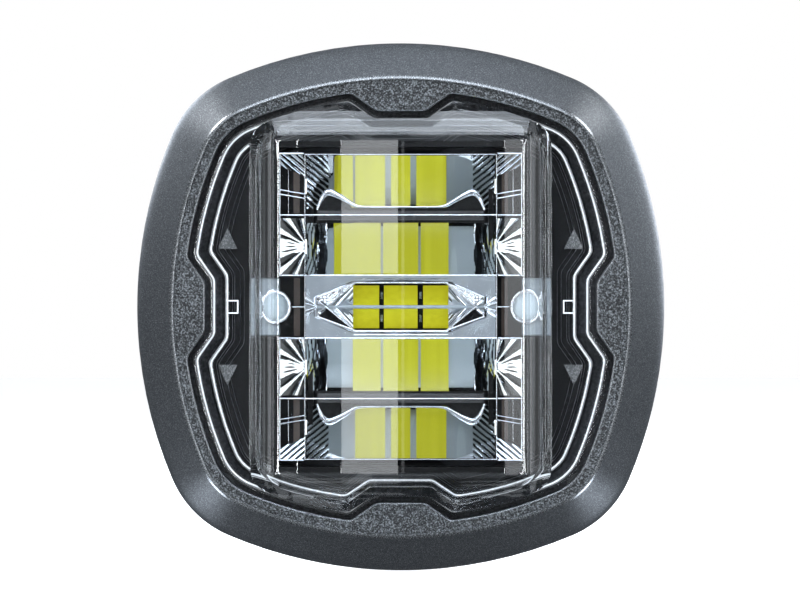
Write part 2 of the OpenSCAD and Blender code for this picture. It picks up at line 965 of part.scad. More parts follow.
module cable_gland() {
    low = gland_washer_t;
    collar = low + gland_hex_t;
    at_gland() color("#202224") difference() {
        union() {
            raise(-floor_t - gland_thread_in)
                cylinder(r = gland_thread_r, h = floor_t + gland_thread_in + collar);
            raise(low) cylinder(r = gland_hex_r, h = gland_hex_t, $fn = 6);
            raise(collar - eps) cylinder(r = gland_thread_r, h = gland_collar_l);
        }
        raise(-floor_t - gland_thread_in - over) cylinder(r = cable_r, h = far);
        raise(collar + over) cylinder(r = gland_seat_r, h = far);
    }
}

module gland_washer() {
    at_gland() color("#101010") difference() {
        cylinder(r = gland_hex_r * cos(30), h = gland_washer_t);
        raise(-over) cylinder(r = gland_thread_r + thread_gap, h = gland_washer_t + 2 * over);
    }
}

module gland_locknut() {
    at_gland() color("#2a2c2e") difference() {
        raise(-floor_t - locknut_t) cylinder(r = gland_hex_r, h = locknut_t, $fn = 6);
        raise(-floor_t - locknut_t - over) cylinder(r = gland_thread_r + fit_gap, h = locknut_t + 2 * over);
    }
}

module gland_nut() {
    low = gland_washer_t + gland_hex_t + nut_gap;
    at_gland() color("#202224") difference() {
        union() {
            raise(low) cylinder(r = gland_hex_r, h = nut_t, $fn = 6);
            raise(low + nut_t - eps) cylinder(r = nut_dome_r, h = nut_step);
            raise(low + nut_t + nut_step - eps) cylinder(r1 = nut_dome_r, r2 = nut_mouth_r, h = nut_step);
        }
        raise(low - over) cylinder(r = gland_thread_r + fit_gap, h = gland_collar_l + over);
        cylinder(r = cable_r + nut_clear, h = far);
    }
}

module gland_seal() {
    at_gland() color("#3a3a3a") raise(gland_washer_t + gland_hex_t + over + thread_gap) difference() {
        cylinder(r = gland_seal_r, h = gland_collar_l - over);
        raise(-over) cylinder(r = cable_r + gap, h = far);
    }
}

module at_vent() {
    lamp() translate([vent_at.x, vent_at.y, cup_z]) mirror([0, 0, 1]) children();
}

module vent_plug() {
    at_vent() color("#26282a") difference() {
        union() {
            raise(-floor_t - over) cylinder(r = vent_r, h = floor_t + over + 2 * vent_cord_r);
            raise(2 * vent_cord_r) cylinder(r = vent_cap_r, h = vent_cap_t);
        }
        raise(-floor_t - 2 * over) cylinder(r = vent_bore_r, h = floor_t + 2 * over + 2 * vent_cord_r);
        raise(vent_room_z) cylinder(r = vent_room_r, h = vent_room_t);
        for (a = [0 : 90 : 270]) rotate([0, 90, a])
            translate([-vent_port_z, 0, over]) cylinder(r = vent_port_r, h = vent_cap_r + over);
    }
}

module vent_membrane() {
    at_vent() color("white") raise(vent_room_z) cylinder(r = membrane_r, h = membrane_t);
}

module vent_o_ring() {
    at_vent() color("#101010") raise(vent_cord_r) rotate_extrude()
        translate([vent_r + thread_gap + vent_cord_r, 0]) circle(r = vent_cord_r);
}

bezel();
bezel_bushes();
mount_gasket();
mount_flange();
rear_cup();
heat_sink();
heat_sink_screws();
lens();
lens_seal();
inner_mask();
reflector_center();
reflector_left();
reflector_right();
reflector_screws();
heat_spreader();
spreader_screws();
thermal_pads();
blade_board_upper();
blade_board_lower();
blade_phosphors();
center_wedge();
center_boards();
center_phosphors();
center_jumpers();
side_board_left();
side_board_right();
side_leds();
driver_board();
driver_screws();
inductors();
capacitors();
driver_chips();
terminal_block();
cable_gland();
gland_washer();
gland_locknut();
gland_nut();
gland_seal();
vent_plug();
vent_membrane();
vent_o_ring();
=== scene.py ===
from functools import partial
import math

import bmesh
import bpy
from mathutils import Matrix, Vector

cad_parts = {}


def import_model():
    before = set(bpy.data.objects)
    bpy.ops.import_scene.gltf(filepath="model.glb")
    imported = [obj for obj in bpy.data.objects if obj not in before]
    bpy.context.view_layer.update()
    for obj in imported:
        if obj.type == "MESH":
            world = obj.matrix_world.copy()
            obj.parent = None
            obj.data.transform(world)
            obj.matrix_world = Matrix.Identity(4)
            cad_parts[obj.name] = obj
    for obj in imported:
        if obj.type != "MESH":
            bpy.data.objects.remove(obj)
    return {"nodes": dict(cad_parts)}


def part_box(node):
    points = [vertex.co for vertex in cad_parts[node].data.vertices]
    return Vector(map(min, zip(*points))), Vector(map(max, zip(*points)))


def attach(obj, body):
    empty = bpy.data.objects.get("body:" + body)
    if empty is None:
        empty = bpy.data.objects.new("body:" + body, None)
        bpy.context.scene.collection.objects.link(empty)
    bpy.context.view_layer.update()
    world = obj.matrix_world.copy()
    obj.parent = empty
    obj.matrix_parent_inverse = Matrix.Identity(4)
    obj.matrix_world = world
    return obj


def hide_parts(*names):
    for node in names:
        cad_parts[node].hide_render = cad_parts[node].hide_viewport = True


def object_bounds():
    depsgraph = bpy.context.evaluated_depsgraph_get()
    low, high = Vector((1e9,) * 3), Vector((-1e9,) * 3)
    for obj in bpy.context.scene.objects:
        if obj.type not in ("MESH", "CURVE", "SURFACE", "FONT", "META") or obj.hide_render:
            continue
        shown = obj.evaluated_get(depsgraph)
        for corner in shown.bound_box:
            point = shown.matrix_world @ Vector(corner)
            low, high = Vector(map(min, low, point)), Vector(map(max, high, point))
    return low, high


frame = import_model()
cad_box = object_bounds()
nodes = frame["nodes"]
scene = bpy.context.scene

# ---------- dimensions, in millimetres: x across, up, and out towards the viewer ----------

MM = 0.001
WELD = 0.02
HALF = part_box("bezel")[1].x / MM
BEZEL_TOP = -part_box("bezel")[0].y / MM
DOME_TOP = -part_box("lens")[0].y / MM

# The outline: four bowed sides and four corner arcs; the opening has a tab in the middle of each side.
SIDE_R = 79.4
CORNER_R = 19.2
SIDE_C = SIDE_R - HALF
CORNER_A = math.acos(SIDE_C / ((SIDE_R - CORNER_R) * math.sqrt(2))) - math.pi / 4
CORNER_C = (SIDE_R - CORNER_R) * math.sin(CORNER_A)
OPEN = 8.75
TAB_X = 35.0
TAB_HALF = 4.4
TAB_A = math.radians(55)
TAB_SOFT = 0.7
PLATEAU = BEZEL_TOP - 0.3
POST_AT = 32.5

# The lens: its edge and two ribs are insets from the outline. The dome's front has three flat strips on each
# side, which end at FACETS and fall by DROPS, and its middle crease is rounded over CREST.
LENS_EDGE = 9.45
RIB_1 = 10.3
RIB_2 = 12.65
FLANGE_FOOT = 5.35
FLANGE_LOW = 6.55
FLANGE_TOP = 9.5
DOME_HALF = 27.0
DOME_T = 1.6
FRONT_HALF = 21.7
FRONT_UP = 29.0
FACETS = (10.5, 18.4)
DROPS = (0.6, 0.8, 0.6)
CREST = (-1.0, 2.6)

# The mask around the mirrors, with an ear slot on each side.
MASK_LOW = 5.0
MASK_OUT = 6.0
WALL_OUT = 14.0
EAR_OUT = 26.9
EAR_HALF = 5.6
WINDOW = (22.2, 28.6)
SCREW_X = 22.7

# The mirrors: five rows in the middle, a column of cups on each side.
HALF_LONG = 16.8
BANK_UP = 27.3
BLADE_UP = 16.3
FOCUS_OFF = 1.3
FOCUS_OUT = 12.2
FOCAL = 3.5
RIM_OUT = 17.0
LIP_OUT = 15.6
CROSS_OUT = 16.1
HOLLOW_OUT = (14.95, 15.1)
EYE = ((8.3, 4.2), (14.8, 1.7))
FLUTE_PITCH = 7.6
TUBE_ROOT = 2.5
ROW = 10.8
CUP_HALF = 5.0
CUP_X = 17.3
CUP_FOCUS = 8.6
CUP_FOCAL = 1.3
CUP_RIM = 15.0
CUP_FLUTES = 15
SIDE_IN = CUP_X - 0.15
SIDE_OUT = 21.66


def world(x, up, out):
    return Vector((x * MM, -out * MM, up * MM))


def mix(a, b, t):
    return a + (b - a) * t


def clamp(v, low, high):
    return max(low, min(high, v))


def smooth(t):
    t = clamp(t, 0.0, 1.0)
    return t * t * (3 - 2 * t)


def spread(low, high, count):
    return [mix(low, high, i / (count - 1)) for i in range(count)]


# ---------- outline of the lamp ----------


def on_side(inset, a):
    r = SIDE_R - inset
    return (r * math.cos(a) - SIDE_C, r * math.sin(a))


def tab_edge(inset):
    return TAB_X + OPEN - inset


def tab_side(inset):
    return TAB_HALF + (inset - OPEN) * math.tan((math.pi / 2 - TAB_A) / 2)


def tab_foot(inset):
    """Where a tab's sloped side meets the bowed side."""
    px, py = tab_edge(inset), tab_side(inset)
    ux, uy = math.cos(TAB_A), math.sin(TAB_A)
    wx, wy = px + SIDE_C, py
    b = wx * ux + wy * uy
    s = math.sqrt(b * b - wx * wx - wy * wy + (SIDE_R - inset) ** 2) - b
    return (px + ux * s, py + uy * s)


def bend(a, b, c, cut, count=5):
    """Points that round the corner b between a and c."""

    def along(p, q):
        d = math.hypot(q[0] - p[0], q[1] - p[1])
        k = min(cut, d / 2) / d
        return (mix(p[0], q[0], k), mix(p[1], q[1], k))

    start, end = along(b, a), along(b, c)
    out = []
    for t in spread(0, 1, count):
        w = ((1 - t) ** 2, 2 * t * (1 - t), t * t)
        out.append(tuple(w[0] * start[k] + w[1] * b[k] + w[2] * end[k] for k in (0, 1)))
    return out


def quarter(inset, tabs):
    """The right-hand side from its lower corner to its upper one, then the corner arc."""
    foot = tab_foot(inset)
    reach = math.atan2(foot[1], foot[0] + SIDE_C) + 2.2 * TAB_SOFT / (SIDE_R - inset)
    points = [on_side(inset, mix(-CORNER_A, -reach, i / 7)) for i in range(7)]
    if tabs:
        edge, half = tab_edge(inset), tab_side(inset)
        low = [(foot[0], -foot[1]), (edge, -half)]
        high = [(edge, half), foot]
        path = [on_side(inset, -reach), *low, *high, on_side(inset, reach)]
        rounded = [bend(path[i - 1], path[i], path[i + 1], TAB_SOFT) for i in (1, 2, 3, 4)]
        points += rounded[0] + rounded[1] + [(edge, 0.0)] + rounded[2] + rounded[3]
    else:
        points += [on_side(inset, reach * t) for t in spread(-0.95, 0.95, 21)]
    points += [on_side(inset, mix(reach, CORNER_A, i / 6)) for i in range(7)]
    r = CORNER_R - inset
    for i in range(1, 16):
        a = mix(CORNER_A, math.pi / 2 - CORNER_A, i / 16)
        points.append((CORNER_C + r * math.cos(a), CORNER_C + r * math.sin(a)))
    return points


def outline(inset, tabs=False):
    points = []
    for c, s in ((1, 0), (0, 1), (-1, 0), (0, -1)):
        points += [(x * c - y * s, x * s + y * c) for x, y in quarter(inset, tabs)]
    return points


# ---------- mesh helpers ----------


def make(name, verts, faces, materials, face_materials=None, angle=35, body="lamp", crease=None):
    """A mesh object from lamp points; edges sharper than angle, or that crease() picks, stay sharp."""
    mesh = bpy.data.meshes.new(name)
    mesh.from_pydata([world(*v) for v in verts], [], faces)
    for m in materials:
        mesh.materials.append(m)
    if face_materials:
        mesh.polygons.foreach_set("material_index", face_materials)
    work = bmesh.new()
    work.from_mesh(mesh)
    bmesh.ops.remove_doubles(work, verts=work.verts, dist=WELD * MM)
    bmesh.ops.recalc_face_normals(work, faces=work.faces)
    limit = math.radians(angle)
    for face in work.faces:
        face.smooth = True
    for edge in work.edges:
        picked = crease is not None and crease(edge)
        edge.smooth = not (picked or (edge.is_manifold and edge.calc_face_angle(0) > limit))
    work.to_mesh(mesh)
    work.free()
    piece = bpy.data.objects.new(name, mesh)
    scene.collection.objects.link(piece)
    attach(piece, body)
    return piece


def strips(rings, closed_across, closed_along=True):
    """Vertices and quads between rings of equal length."""
    n = len(rings[0])
    verts = [p for ring in rings for p in ring]
    faces = []
    last = len(rings) if closed_across else len(rings) - 1
    for j in range(last):
        k = (j + 1) % len(rings)
        for i in range(n if closed_along else n - 1):
            i2 = (i + 1) % n
            faces.append((j * n + i, j * n + i2, k * n + i2, k * n + i))
    return verts, faces


def section_ring(inset, out, tabs):
    return [(x, y, out) for x, y in outline(inset, tabs)]


def merge(parts):
    """Joins (verts, faces) lists into one."""
    verts, faces = [], []
    for v, f in parts:
        base = len(verts)
        verts += v
        faces += [tuple(i + base for i in face) for face in f]
    return verts, faces


def block(x, up, out):
    """A box given by three (low, high) pairs."""
    verts = [(a, b, c) for a in x for b in up for c in out]
    faces = [(0, 1, 3, 2), (4, 6, 7, 5), (0, 4, 5, 1), (2, 3, 7, 6), (0, 2, 6, 4), (1, 5, 7, 3)]
    return verts, faces


def grid(xs, ups, height):
    rings = [[(x, up, height(x, up)) for x in xs] for up in ups]
    return strips(rings, False, False)


def face_kinds(part, rule):
    """1 for each face whose middle the rule picks, else 0; the rule gets its distance across and its up."""
    verts, faces = part
    out = []
    for face in faces:
        x = sum(verts[i][0] for i in face) / len(face)
        up = sum(verts[i][1] for i in face) / len(face)
        out.append(int(rule(abs(x), up)))
    return out


def bead(points, half, out):
    """A closed raised line along (x, up) points."""
    n = len(points)
    rings = [[] for _ in range(5)]
    for i, (x, up) in enumerate(points):
        ax, ay = points[i - 1]
        bx, by = points[(i + 1) % n]
        d = math.hypot(bx - ax, by - ay)
        nx, ny = (by - ay) / d, (ax - bx) / d
        for ring, (side, rise) in zip(rings, ((-1, 0), (-0.7, 0.7), (0, 1), (0.7, 0.7), (1, 0))):
            ring.append((x + nx * half * side, up + ny * half * side, out + half * rise))
    return strips(rings, False)


def soften(piece, width, segments=2):
    """Rounds a piece's sharp edges by the given width in millimetres."""
    bevel = piece.modifiers.new("edges", "BEVEL")
    bevel.width = width * MM
    bevel.segments = segments
    bevel.limit_method = "ANGLE"
    bevel.harden_normals = True
    return piece


# ---------- materials ----------


class Nodes:
    """A node tree with short calls for the nodes used here."""

    def __init__(self, tree):
        self.tree = tree

    def node(self, kind, **values):
        made = self.tree.nodes.new("ShaderNode" + kind)
        for key, value in values.items():
            made.inputs[key.replace("_", " ")].default_value = value
        return made

    def link(self, a, b):
        self.tree.links.new(a, b)

    def split(self, source):
        made = self.node("SeparateXYZ")
        self.link(source, made.inputs["Vector"])
        return made.outputs

    def span(self, source, low, high, to_low=0.0, to_high=1.0):
        made = self.node("MapRange", From_Min=low, From_Max=high, To_Min=to_low, To_Max=to_high)
        self.link(source, made.inputs["Value"])
        return made.outputs["Result"]

    def ramp(self, source, stops, interpolation="LINEAR"):
        made = self.node("ValToRGB")
        ramp = made.color_ramp
        ramp.interpolation = interpolation
        while len(ramp.elements) < len(stops):
            ramp.elements.new(0.5)
        for element, (place, color) in zip(ramp.elements, stops):
            element.position = place
            element.color = (*color, 1)
        self.link(source, made.inputs["Fac"])
        return made.outputs["Color"]

    def blend(self, factor, a, b):
        """Goes from a to b with the factor; each is a colour or a socket."""
        made = self.node("Mix")
        made.data_type = "RGBA"
        self.link(factor, made.inputs["Factor"])
        for key, side in (("A", a), ("B", b)):
            if isinstance(side, tuple):
                made.inputs[key].default_value = (*side, 1)
            else:
                self.link(side, made.inputs[key])
        return made.outputs["Result"]

    def by_ray(self, flag, usual, picked):
        """The picked shader for rays with this flag, the usual one for all others."""
        both = self.node("MixShader")
        self.link(self.node("LightPath").outputs[flag], both.inputs["Fac"])
        self.link(usual, both.inputs[1])
        self.link(picked, both.inputs[2])
        return both.outputs["Shader"]


class Shader(Nodes):
    """A Principled material with short calls for its texture nodes."""

    def __init__(self, name, color, roughness, metallic=0.0, **sockets):
        self.material = bpy.data.materials.new(name)
        self.material.use_nodes = True
        super().__init__(self.material.node_tree)
        self.main = self.tree.nodes["Principled BSDF"]
        self.main.inputs["Base Color"].default_value = (*color, 1)
        self.main.inputs["Roughness"].default_value = roughness
        self.main.inputs["Metallic"].default_value = metallic
        for key, value in sockets.items():
            self.main.inputs[key.replace("_", " ")].default_value = value
        self.coords = self.node("TexCoord").outputs["Object"]

    def noise(self, grain, detail=2.0, rough=0.5, stretch=(1, 1, 1)):
        """Noise whose grain is about the given size in millimetres."""
        place = self.node("Mapping", Scale=stretch)
        self.link(self.coords, place.inputs["Vector"])
        made = self.node("TexNoise", Scale=1 / (grain * MM), Detail=detail, Roughness=rough)
        self.link(place.outputs["Vector"], made.inputs["Vector"])
        return made.outputs["Fac"]

    def cells(self, size):
        """Distance from the middle of cells of the given size in millimetres."""
        made = self.node("TexVoronoi", Scale=1 / (size * MM))
        self.link(self.coords, made.inputs["Vector"])
        return made.outputs["Distance"]

    def color(self, source, stops):
        self.link(self.ramp(source, stops), self.main.inputs["Base Color"])
        return self

    def rough(self, source, low, high):
        self.link(self.span(source, 0.3, 0.7, low, high), self.main.inputs["Roughness"])
        return self

    def bump(self, source, height, strength=1.0):
        """Relief of the given height in millimetres; calls stack."""
        made = self.node("Bump", Strength=strength, Distance=height * MM)
        self.link(source, made.inputs["Height"])
        normal = self.main.inputs["Normal"]
        if normal.is_linked:
            self.link(normal.links[0].from_socket, made.inputs["Normal"])
        self.link(made.outputs["Normal"], normal)
        return self


def coat_material():
    """Charcoal coat with fine flakes, on the bezel's slope."""
    m = Shader("bezel_coat", (0.04, 0.042, 0.047), 0.42, 0.55)
    flakes = m.noise(0.16, 1.0)
    m.color(flakes, [(0.3, (0.03, 0.032, 0.036)), (0.55, (0.07, 0.074, 0.08)), (0.72, (0.2, 0.21, 0.22))])
    m.rough(m.noise(0.3), 0.34, 0.5)
    m.bump(flakes, 0.02, 0.6)
    return m.material


def painted_highlight_coat():
    """The same coat painted lighter and smoother as a painted highlight, along the bezel's crest."""
    m = Shader("bezel_coat_painted_highlight", (0.16, 0.17, 0.18), 0.26, 0.7)
    flakes = m.noise(0.2, 1.0)
    m.color(flakes, [(0.3, (0.09, 0.095, 0.1)), (0.7, (0.24, 0.25, 0.26))])
    m.rough(flakes, 0.2, 0.3)
    m.bump(flakes, 0.01, 0.5)
    return m.material


def sand_material(name, dark, light, grain, height):
    m = Shader(name, light, 0.6, 0.2)
    sand = m.noise(grain, 3.0, 0.6)
    m.color(sand, [(0.42, dark), (0.52, tuple(mix(d, l, 0.2) for d, l in zip(dark, light))), (0.64, light)])
    m.rough(m.noise(grain * 2), 0.45, 0.7)
    m.bump(sand, height)
    return m.material


def clear_material():
    """Clear polycarbonate that lets lamps light what is behind it."""
    m = Shader("clear_pc", (0.97, 0.985, 1.0), 0.0, 0.0, IOR=1.07, Transmission_Weight=1.0,
               Coat_Weight=1.0, Coat_Roughness=0.0, Coat_IOR=1.5)
    m.bump(m.noise(12.0, 0.0), 0.001, 0.05)
    clear = m.node("BsdfTransparent", Color=(0.93, 0.95, 0.96, 1))
    surface = m.by_ray("Is Shadow Ray", m.main.outputs["BSDF"], clear.outputs["BSDF"])
    m.link(surface, m.tree.nodes["Material Output"].inputs["Surface"])
    return m.material


def painted_glint_material():
    """Moulded edges of the clear parts, painted near-white and made to glow as a painted highlight."""
    m = Shader("clear_edge_painted_glint", (0.9, 0.93, 0.95), 0.22, 0.0, Transmission_Weight=0.25, IOR=1.5,
               Emission_Color=(0.9, 0.95, 1, 1), Emission_Strength=0.3)
    lines = m.noise(0.8, 2.0)
    m.color(lines, [(0.3, (0.72, 0.76, 0.8)), (0.65, (0.95, 0.97, 1.0))])
    m.rough(lines, 0.16, 0.3)
    return m.material


def rim_material():
    """Edges of the mirrors, bright but a little blurred."""
    m = Shader("mirror_rim", (0.93, 0.95, 0.97), 0.2, 1.0)
    lines = m.noise(0.9, 2.0)
    m.color(lines, [(0.3, (0.78, 0.81, 0.85)), (0.65, (0.97, 0.98, 1.0))])
    m.rough(lines, 0.12, 0.28)
    m.bump(lines, 0.01, 0.4)
    return m.material


def mirror_material():
    """Metallised plastic, slightly wavy."""
    m = Shader("mirror_coat", (0.84, 0.87, 0.9), 0.03, 1.0)
    m.rough(m.noise(4.0), 0.015, 0.06)
    m.bump(m.noise(2.5, 1.0), 0.006, 0.3)
    return m.material


def black_material(name, tone=0.012, roughness=0.4, grain=0.25, height=0.02):
    m = Shader(name, (tone, tone, tone * 1.05), roughness, Specular_IOR_Level=0.1)
    pattern = m.noise(grain, 2.0)
    low, high = tone * 0.6, tone * 1.8
    m.color(pattern, [(0.35, (low, low, low * 1.05)), (0.7, (high, high, high * 1.08))])
    m.rough(m.noise(grain * 6), roughness * 0.8, roughness * 1.25)
    m.bump(pattern, height, 0.6)
    return m.material


# Painted glow: the phosphor emits a little light of its own, which brightens the yellow seen behind the lens.
def phosphor_material():
    m = Shader("phosphor", (0.33, 0.32, 0.02), 0.5, 0.0, Specular_IOR_Level=0.2,
               Emission_Color=(0.6, 0.56, 0.015, 1), Emission_Strength=0.46)
    m.color(m.noise(1.2, 3.0), [(0.35, (0.29, 0.285, 0.008)), (0.65, (0.35, 0.345, 0.014))])
    m.bump(m.noise(0.3), 0.01, 0.5)
    return m.material


def metal_material(name, color, roughness, grain=1.5, height=0.01, stretch=(1, 1, 1)):
    m = Shader(name, color, roughness, 1.0)
    lines = m.noise(grain, 3.0, 0.6, stretch)
    dark = tuple(c * 0.8 for c in color)
    m.color(lines, [(0.3, dark), (0.7, color)])
    m.rough(lines, roughness * 0.8, roughness * 1.3)
    m.bump(lines, height, 0.5)
    return m.material


def board_material(name, mask, trace, edge, glow=0.0):
    """Solder mask with faint copper runs under it, and a differently coloured cut edge; glow makes the same
    colours shine as painted light.
    """
    m = Shader(name, mask, 0.35, Emission_Strength=glow)
    distance = m.cells(2.6)
    face = m.ramp(distance, [(0.1, trace), (0.28, trace), (0.34, mask)])
    facing = m.split(m.node("NewGeometry").outputs["Normal"])
    both = m.blend(m.span(facing["Y"], -0.8, -0.9), face, edge)
    m.link(both, m.main.inputs["Base Color"])
    m.link(both, m.main.inputs["Emission Color"])
    m.rough(m.noise(1.0), 0.28, 0.45)
    m.bump(distance, 0.02, 0.4)
    return m.material


def plastic_material(name, color, roughness=0.45, grain=0.4, height=0.01):
    m = Shader(name, color, roughness)
    pattern = m.noise(grain, 2.0)
    m.color(pattern, [(0.3, tuple(c * 0.82 for c in color)), (0.7, color)])
    m.rough(m.noise(grain * 5), roughness * 0.8, roughness * 1.2)
    m.bump(pattern, height, 0.6)
    return m.material


# Painted glow: the side LEDs emit light, which whitens the middles of the side cups that mirror them.
def led_material():
    m = Shader("led_clear", (0.9, 0.9, 0.86), 0.2, Emission_Color=(1, 0.99, 0.95, 1), Emission_Strength=1.1)
    m.color(m.noise(0.6), [(0.3, (0.8, 0.82, 0.76)), (0.7, (0.95, 0.96, 0.9))])
    m.bump(m.noise(0.5), 0.01)
    return m.material


COAT = coat_material()
COAT_HIGHLIGHT = painted_highlight_coat()
SAND = sand_material("bezel_sand", (0.002, 0.0024, 0.003), (0.22, 0.235, 0.25), 0.26, 0.2)
CLEAR = clear_material()
PAINTED_GLINT = painted_glint_material()
MIRROR = mirror_material()
RIM = rim_material()
BLACK = black_material("black_abs", 0.004)
# Painted highlight: a lighter black for the small walls of the mask's steps.
BLACK_HIGHLIGHT = black_material("black_abs_painted_highlight", 0.2, 0.35)
MASK_SAND = sand_material("mask_sand", (0.05, 0.05, 0.05), (0.24, 0.24, 0.24), 0.2, 0.06)
RUBBER = black_material("epdm", 0.02, 0.75, 0.5, 0.03)
CAST = black_material("cast_black", 0.035, 0.5, 0.5, 0.05)
PHOSPHOR = phosphor_material()
STEEL = metal_material("plated_steel", (0.72, 0.77, 0.82), 0.22)
ALUMINIUM = metal_material("bare_aluminium", (0.74, 0.76, 0.78), 0.32, 0.8, 0.02, (1, 1, 0.1))
# Painted glow: the blade boards shine a little, to brighten them behind the lens.
BOARD_BLACK = board_material("board_black", (0.3, 0.34, 0.35), (0.36, 0.4, 0.41), (0.01, 0.01, 0.012), 0.22)
BOARD_GREEN = board_material("board_green", (0.01, 0.09, 0.035), (0.03, 0.16, 0.06), (0.05, 0.12, 0.04))
EAR = plastic_material("mirror_plate", (0.27, 0.31, 0.34), 0.3, 0.6)
SCREW = metal_material("screw_face", (0.45, 0.52, 0.56), 0.45, 0.5, 0.008)
SHADE = metal_material("mirror_shade", (0.045, 0.05, 0.055), 0.12)
BROWN = plastic_material("brown_strip", (0.05, 0.028, 0.018), 0.35, 0.5)

# ---------- bezel ----------

# Inset from the outline, height, whether the ring follows the tabs, and the material up to the next ring:
# 0 coat, 1 sand texture, 2 black inside, 3 coat painted lighter as a painted highlight.
BEZEL_SECTION = [
    (0.0, 0.35, False, 0),
    (0.05, 0.3, False, 0),
    (0.0, 0.6, False, 0),
    (0.0, 2.2, False, 0),
    (0.08, 2.8, False, 0),
    (0.35, 3.5, False, 0),
    (0.8, 4.3, False, 0),
    (1.3, 5.1, False, 0),
    (3.0, 7.45, False, 0),
    (4.7, 9.75, False, 0),
    (6.0, 11.5, False, 3),
    (6.2, 11.76, False, 3),
    (6.38, 11.97, False, 3),
    (6.55, 12.1, False, 3),
    (6.72, BEZEL_TOP, False, 1),
    (6.85, BEZEL_TOP - 0.04, False, 1),
    (7.0, PLATEAU + 0.05, False, 1),
    (7.15, PLATEAU, False, 1),
    (7.6, PLATEAU, False, 1),
    (8.45, PLATEAU, True, 3),
    (8.62, PLATEAU - 0.05, True, 3),
    (8.72, PLATEAU - 0.15, True, 3),
    (8.75, PLATEAU - 0.35, True, 2),
    (8.75, 7.0, True, 2),
    (7.5, 7.0, True, 2),
    (7.5, 10.2, True, 2),
    (7.1, 10.2, False, 2),
    (2.4, 4.6, False, 2),
    (1.6, 3.4, False, 2),
    (1.6, 0.35, False, 2),
    (1.5, 0.3, False, 2),
]


def post(x, up):
    """A snap post with a chamfered tip."""
    rings = []
    for out, r in ((2.2, 0.0), (1.95, 1.2), (2.2, 1.48), (9.0, 1.48)):
        rings.append([(x + r * math.cos(a), up + r * math.sin(a), out) for a in spread(0, math.tau, 25)[:-1]])
    return strips(rings, False)


def build_bezel():
    """The bezel's ring and its four snap posts."""
    rings = [section_ring(i, out, tabs) for i, out, tabs, _ in BEZEL_SECTION]
    verts, faces = strips(rings, True)
    per_ring = len(rings[0])
    kinds = [k for _, _, _, k in BEZEL_SECTION for _ in range(per_ring)]
    posts = merge([post(x, up) for x in (-POST_AT, POST_AT) for up in (-POST_AT, POST_AT)])
    verts, faces = merge([(verts, faces), posts])
    kinds += [2] * (len(faces) - len(kinds))
    piece = make("bezel_shell", verts, faces, [COAT, SAND, BLACK, COAT_HIGHLIGHT], kinds, 38, "bezel")
    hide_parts("bezel")


# ---------- lens ----------


def rib(at):
    """Section of a rounded rib: (inset, out, 1 where the face up to the next point gets the painted glint)."""
    return [(at - 0.3, FLANGE_TOP, 1), (at - 0.22, 10.12, 0), (at - 0.1, 10.28, 1), (at + 0.1, 10.28, 1),
            (at + 0.22, 10.12, 0), (at + 0.3, FLANGE_TOP, 0)]


def key_outline(s):
    """Thin raised lines around the key beside the middle of a side."""
    far, near, half, w = 31.0, 29.2, 1.1, 0.12
    out = (FLANGE_TOP, FLANGE_TOP + 0.25)
    bars = [block(sorted((s * near, s * far)), (u - w, u + w), out) for u in (-half, half)]
    bars.append(block(sorted((s * (near - w), s * (near + w))), (-half - w, half + w), out))
    return bars


def build_flange():
    """The lens's rim with two ribs whose crests get the painted glint; its inner edge runs under the dome,
    where the inner rib's top is clear.
    """
    section = [(LENS_EDGE, FLANGE_FOOT, 0), (LENS_EDGE, FLANGE_TOP - 0.25, 0)]
    section += [(LENS_EDGE + 0.07, FLANGE_TOP - 0.08, 0), (LENS_EDGE + 0.25, FLANGE_TOP, 0)]
    section += rib(RIB_1) + rib(RIB_2) + [(14.5, FLANGE_TOP, 0)]
    rings = [section_ring(inset, out, True) for inset, out, _ in section]
    kinds = []
    for (inset, _, bright), ring in zip(section, rings):
        for x, up, _ in ring:
            in_sight = inset < RIB_1 + 1 or up < 0 or abs(x) > DOME_HALF
            kinds.append(int(bright and in_sight))
    side = DOME_HALF - DOME_T
    inner = [(clamp(x, -side, side), y) for x, y in outline(14.7, True)]
    rings.append([(x, y, FLANGE_TOP) for x, y in inner])
    rings.append([(x, y, FLANGE_LOW) for x, y in inner])
    rings.append(section_ring(LENS_EDGE + 2.5, FLANGE_LOW, True))
    rings.append(section_ring(LENS_EDGE + 2.5, FLANGE_FOOT, True))
    parts = [strips(rings, True)]
    kinds += [0] * (len(parts[0][1]) - len(kinds))
    # The key's raised lines get the painted glint as well.
    for s in (-1, 1):
        for part in key_outline(s):
            parts.append(part)
            kinds += [1] * len(part[1])
    verts, faces = merge(parts)
    return make("lens_rim", verts, faces, [CLEAR, PAINTED_GLINT], kinds, 30)


def front(x):
    """Height of the dome's faceted front, whose middle crease is rounded."""
    slope = DROPS[0] / FACETS[0]
    base = DOME_TOP + slope * CREST[0] * 0.55
    wide = CREST[1] - CREST[0]
    if CREST[0] < x < CREST[1]:
        t = (x - CREST[0]) / wide
        return base + slope * (CREST[0] + wide * t * (1 - t))
    u = abs(x)
    if x > 0:
        base += slope * (CREST[0] + CREST[1])
    if u <= FACETS[0]:
        return base - slope * u
    if u <= FACETS[1]:
        return base - DROPS[0] - DROPS[1] * (u - FACETS[0]) / (FACETS[1] - FACETS[0])
    part = (min(u, FRONT_HALF) - FACETS[1]) / (FRONT_HALF - FACETS[1])
    return base - DROPS[0] - DROPS[1] - DROPS[2] * part


def contour_up(x, inset):
    """Height of the lens contour above the middle at x, with its notch for the tab."""
    x = abs(x)
    up = math.sqrt((SIDE_R - inset) ** 2 - x * x) - SIDE_C
    foot = tab_foot(inset)
    edge, half = tab_edge(inset), tab_side(inset)
    if x <= half:
        return edge
    if x < foot[1]:
        return mix(edge, foot[0], (x - half) / (foot[1] - half))
    return up


